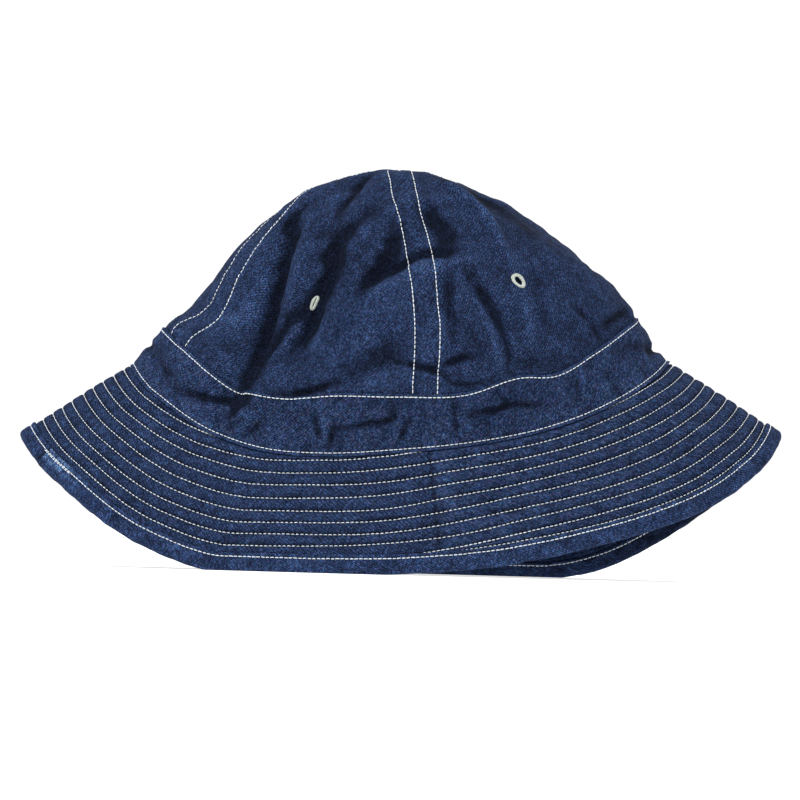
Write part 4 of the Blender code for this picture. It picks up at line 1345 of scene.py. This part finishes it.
def seam_paths():
    """Both rows of stitches beside each crown seam, from the band to where the next seam's row lies."""
    level = np.linspace(1.018, 1.97, 260)
    courses = [seam_azimuth(seam, level) for seam in SEAMS]
    paths = []
    for i, seam in enumerate(SEAMS):
        pace, _ = paces(courses[i], level)
        turn = SEAM_STITCH * seam.spread / pace
        for side in (-1, 1):
            gap = np.mod(side * (courses[(i + side) % len(SEAMS)] - courses[i]), 360)
            kept = turn < np.minimum(WIDEST_SEAM_TURN, gap / 2)
            azimuth = courses[i] + side * turn
            point, normal, _ = crown_surface(azimuth[kept], level[kept])
            paths.append((point, normal))
    return paths


def band_paths():
    """The rows of stitches along the band's top and foot."""
    azimuth = np.linspace(-180, 180, 700)
    paths = []
    for place in (1.0, 0.0):
        point, normal, _ = band_surface(azimuth, np.full_like(azimuth, place))
        paths.append((point, normal))
    return paths


def quilt_path(side):
    """The spiral of quilting on the brim's upper face (side 1) or under face (side -1)."""
    # It comes out from under the tape at 5 degrees above, and at 284 below
    turned = np.arange(5.0 if side > 0 else 284.0, 360 * QUILT_ROWS - 40, 0.25)
    share = quilt_share(turned)
    point, normal, _ = brim_surface(turned, share, side=side)
    return point, normal


def binding_paths(side):
    """The tape's row of stitches above the brim (side 1) or below it (side -1)."""
    azimuth = np.linspace(-180, 180, 1200)
    _, _, _, width = brim_frame(azimuth)
    travel = BINDING_WIDTH - (1 - BINDING_ROW) * width
    if side < 0:
        travel = binding_total() - travel
    point, normal, _ = binding_surface(azimuth, travel)
    paths = [(point, normal)]
    if side > 0:
        # The joint is sewn a second time, just below
        first, last = TAPE_JOINT
        again = (azimuth > first - 1) & (azimuth < last + 1)
        point, normal, _ = binding_surface(azimuth[again], travel[again] + 0.55 * MM)
        paths.append((point, normal))
    return paths


class OBJECT_OT_hat_stitching(bpy.types.Operator):
    """Sews every row of off-white stitches: crown seams, band, quilting and bound edge"""

    bl_idname = "object.hat_stitching"
    bl_label = "Sew the stitches"

    def execute(self, context):
        sewing = context.scene.hat_stitching
        thread = material_named("off-white cotton thread")
        sizes = {
            "Pitch": sewing.pitch,
            "Stitch Length": sewing.length,
            "Thread Width": sewing.width,
            "Rise": 0.50 * MM,
            "Unevenness": 0.07,
        }
        made = bpy.data.objects
        gores = [made[f"crown_cloth_{panel.name}"] for panel in PANELS]
        brims = [made["brim_cloth_right"], made["brim_cloth_left"]]
        tape = [made["binding_tape"]]
        sew("seam_stitches", seam_paths(), gores, thread, 1, **sizes)
        sew("band_stitches", band_paths(), [made["band_cloth"]], thread, 2, **sizes)
        # The quilting's stitches stand up more, out of the grooves that they pull into the brim
        quilting = sizes | {"Thread Width": 1.10 * sewing.width, "Rise": 0.74 * MM}
        sew("quilt_stitches", [quilt_path(1)], brims, thread, 3, **quilting)
        sew("quilt_stitches_under", [quilt_path(-1)], brims, thread, 4, bends=2, sides=3, **quilting)
        sew("binding_stitches", binding_paths(1) + binding_paths(-1), tape, thread, 5, **sizes)
        return {"FINISHED"}


class OBJECT_OT_hat_eyelets(bpy.types.Operator):
    """Sews each eyelet as a ring of close thread wraps round its hole"""

    bl_idname = "object.hat_eyelets"
    bl_label = "Sew the eyelets"

    def execute(self, context):
        thread = material_named("pale eyelet thread")
        for number, panel in enumerate(PANELS):
            gore = bpy.data.objects[f"crown_cloth_{panel.name}"]
            sizes = {
                "Pitch": 0.42 * MM,
                "Stitch Length": EYELET_WRAP * (0.4 + 0.6 * panel.pinch),
                "Thread Width": 0.50 * MM,
                "Rise": 1.1 * MM,
                "Unevenness": 0.10,
                "Turn": math.pi / 2,
            }
            name = f"eyelet_thread_{panel.name}"
            piece = sew(name, [eyelet_path(panel)], [gore], thread, 31 + number, bends=4, **sizes)
            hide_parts(f"eyelet_{panel.name}")
        return {"FINISHED"}


class OBJECT_OT_hat_stage(bpy.types.Operator):
    """Sets up the pale floor, the soft lights and the camera"""

    bl_idname = "object.hat_stage"
    bl_label = "Set up the stage"

    def execute(self, context):
        stage = context.scene.hat_stage
        scene = context.scene
        floor_mesh = bpy.data.meshes.new("floor")
        side = FLOOR_HALF_SIZE
        corners = [(-side, -side, 0), (side, -side, 0), (side, side, 0), (-side, side, 0)]
        floor_mesh.from_pydata(corners, [], [(0, 1, 2, 3)])
        paper = bpy.data.materials.new("matt white paper")
        paper.use_nodes = True
        shader = paper.node_tree.nodes["Principled BSDF"].inputs
        shader["Base Color"].default_value = linear("#e4e4e2")
        shader["Roughness"].default_value = 0.95
        shader["Specular IOR Level"].default_value = 0.0
        shader["Emission Color"].default_value = grey(1.0)
        shader["Emission Strength"].default_value = 0.70
        floor_mesh.materials.append(paper)
        floor = bpy.data.objects.new("floor", floor_mesh)
        scene.collection.objects.link(floor)

        world = scene.world or bpy.data.worlds.new("studio")
        scene.world = world
        world.use_nodes = True
        tree = world.node_tree
        tree.nodes.clear()
        # The camera sees plain white, and the hat is lit by a dimmer sky
        seen = add(tree, "ShaderNodeBackground", values={"Color": grey(1.0), "Strength": 1.05})[0]
        dimmer = {"Color": grey(1.0), "Strength": stage.daylight}
        light = add(tree, "ShaderNodeBackground", values=dimmer)[0]
        seen_ray = add(tree, "ShaderNodeLightPath")["Is Camera Ray"]
        mixed = add(tree, "ShaderNodeMixShader", {0: seen_ray, 1: light, 2: seen})[0]
        add(tree, "ShaderNodeOutputWorld", {"Surface": mixed})

        # Each sun's place in the sky, its strength, and how many degrees of the sky it takes up
        suns = (
            ("window_light", (-0.55, -0.75, 1.2), stage.window, 30),
            ("fill_light", (1.0, -0.6, 0.5), 0.3, 60),
            ("back_light", (0.4, 1.0, 0.8), 0.7, 60),
        )
        for name, towards, strength, spread in suns:
            data = bpy.data.lights.new(name, "SUN")
            data.energy = strength
            data.angle = math.radians(spread)
            sun = bpy.data.objects.new(name, data)
            sun.rotation_mode = "QUATERNION"
            sun.rotation_quaternion = Vector(towards).to_track_quat("Z", "Y")
            scene.collection.objects.link(sun)

        data = bpy.data.cameras.new("camera")
        data.sensor_width = 36.0
        data.lens = CAMERA_LENS
        data.clip_end = 200.0
        camera = bpy.data.objects.new("camera", data)
        scene.collection.objects.link(camera)
        target = Vector(CAMERA_TARGET)
        camera.location = (target.x, -stage.camera_distance, stage.camera_height)
        camera.rotation_mode = "QUATERNION"
        looking = (target - camera.location).to_track_quat("-Z", "Y")
        camera.rotation_quaternion = looking @ Quaternion((0, 0, 1), math.radians(CAMERA_ROLL))
        scene.camera = camera
        scene.view_settings.view_transform = "Standard"
        return {"FINISHED"}


OPERATORS = (
    OBJECT_OT_hat_stage,
    OBJECT_OT_hat_crown,
    OBJECT_OT_hat_band,
    OBJECT_OT_hat_brim,
    OBJECT_OT_hat_binding,
    OBJECT_OT_hat_stitching,
    OBJECT_OT_hat_eyelets,
)


class VIEW3D_PT_hat(bpy.types.Panel):
    bl_label = "Denim army hat"
    bl_space_type = "VIEW_3D"
    bl_region_type = "UI"
    bl_category = "Hat"

    def draw(self, context):
        layout = self.layout
        for group in (context.scene.hat_cloth, context.scene.hat_stitching, context.scene.hat_stage):
            for name in group.__annotations__:
                layout.prop(group, name)
        for operator in OPERATORS:
            layout.operator(operator.bl_idname)


CLASSES = (HatCloth, HatStitching, HatStage, *OPERATORS, VIEW3D_PT_hat)


def register():
    for made in CLASSES:
        bpy.utils.register_class(made)
    bpy.types.Scene.hat_cloth = PointerProperty(type=HatCloth)
    bpy.types.Scene.hat_stitching = PointerProperty(type=HatStitching)
    bpy.types.Scene.hat_stage = PointerProperty(type=HatStage)


def unregister():
    del bpy.types.Scene.hat_stage
    del bpy.types.Scene.hat_stitching
    del bpy.types.Scene.hat_cloth
    for made in reversed(CLASSES):
        bpy.utils.unregister_class(made)


def main():
    register()
    for existing in list(bpy.data.objects):
        if existing.name in ("Cube", "Light", "Camera"):
            bpy.data.objects.remove(existing, do_unlink=True)
    bpy.ops.object.hat_stage()
    bpy.ops.object.hat_crown()
    bpy.ops.object.hat_band()
    bpy.ops.object.hat_brim()
    bpy.ops.object.hat_binding()
    bpy.ops.object.hat_stitching()
    bpy.ops.object.hat_eyelets()


if __name__ == "__main__":
    main()
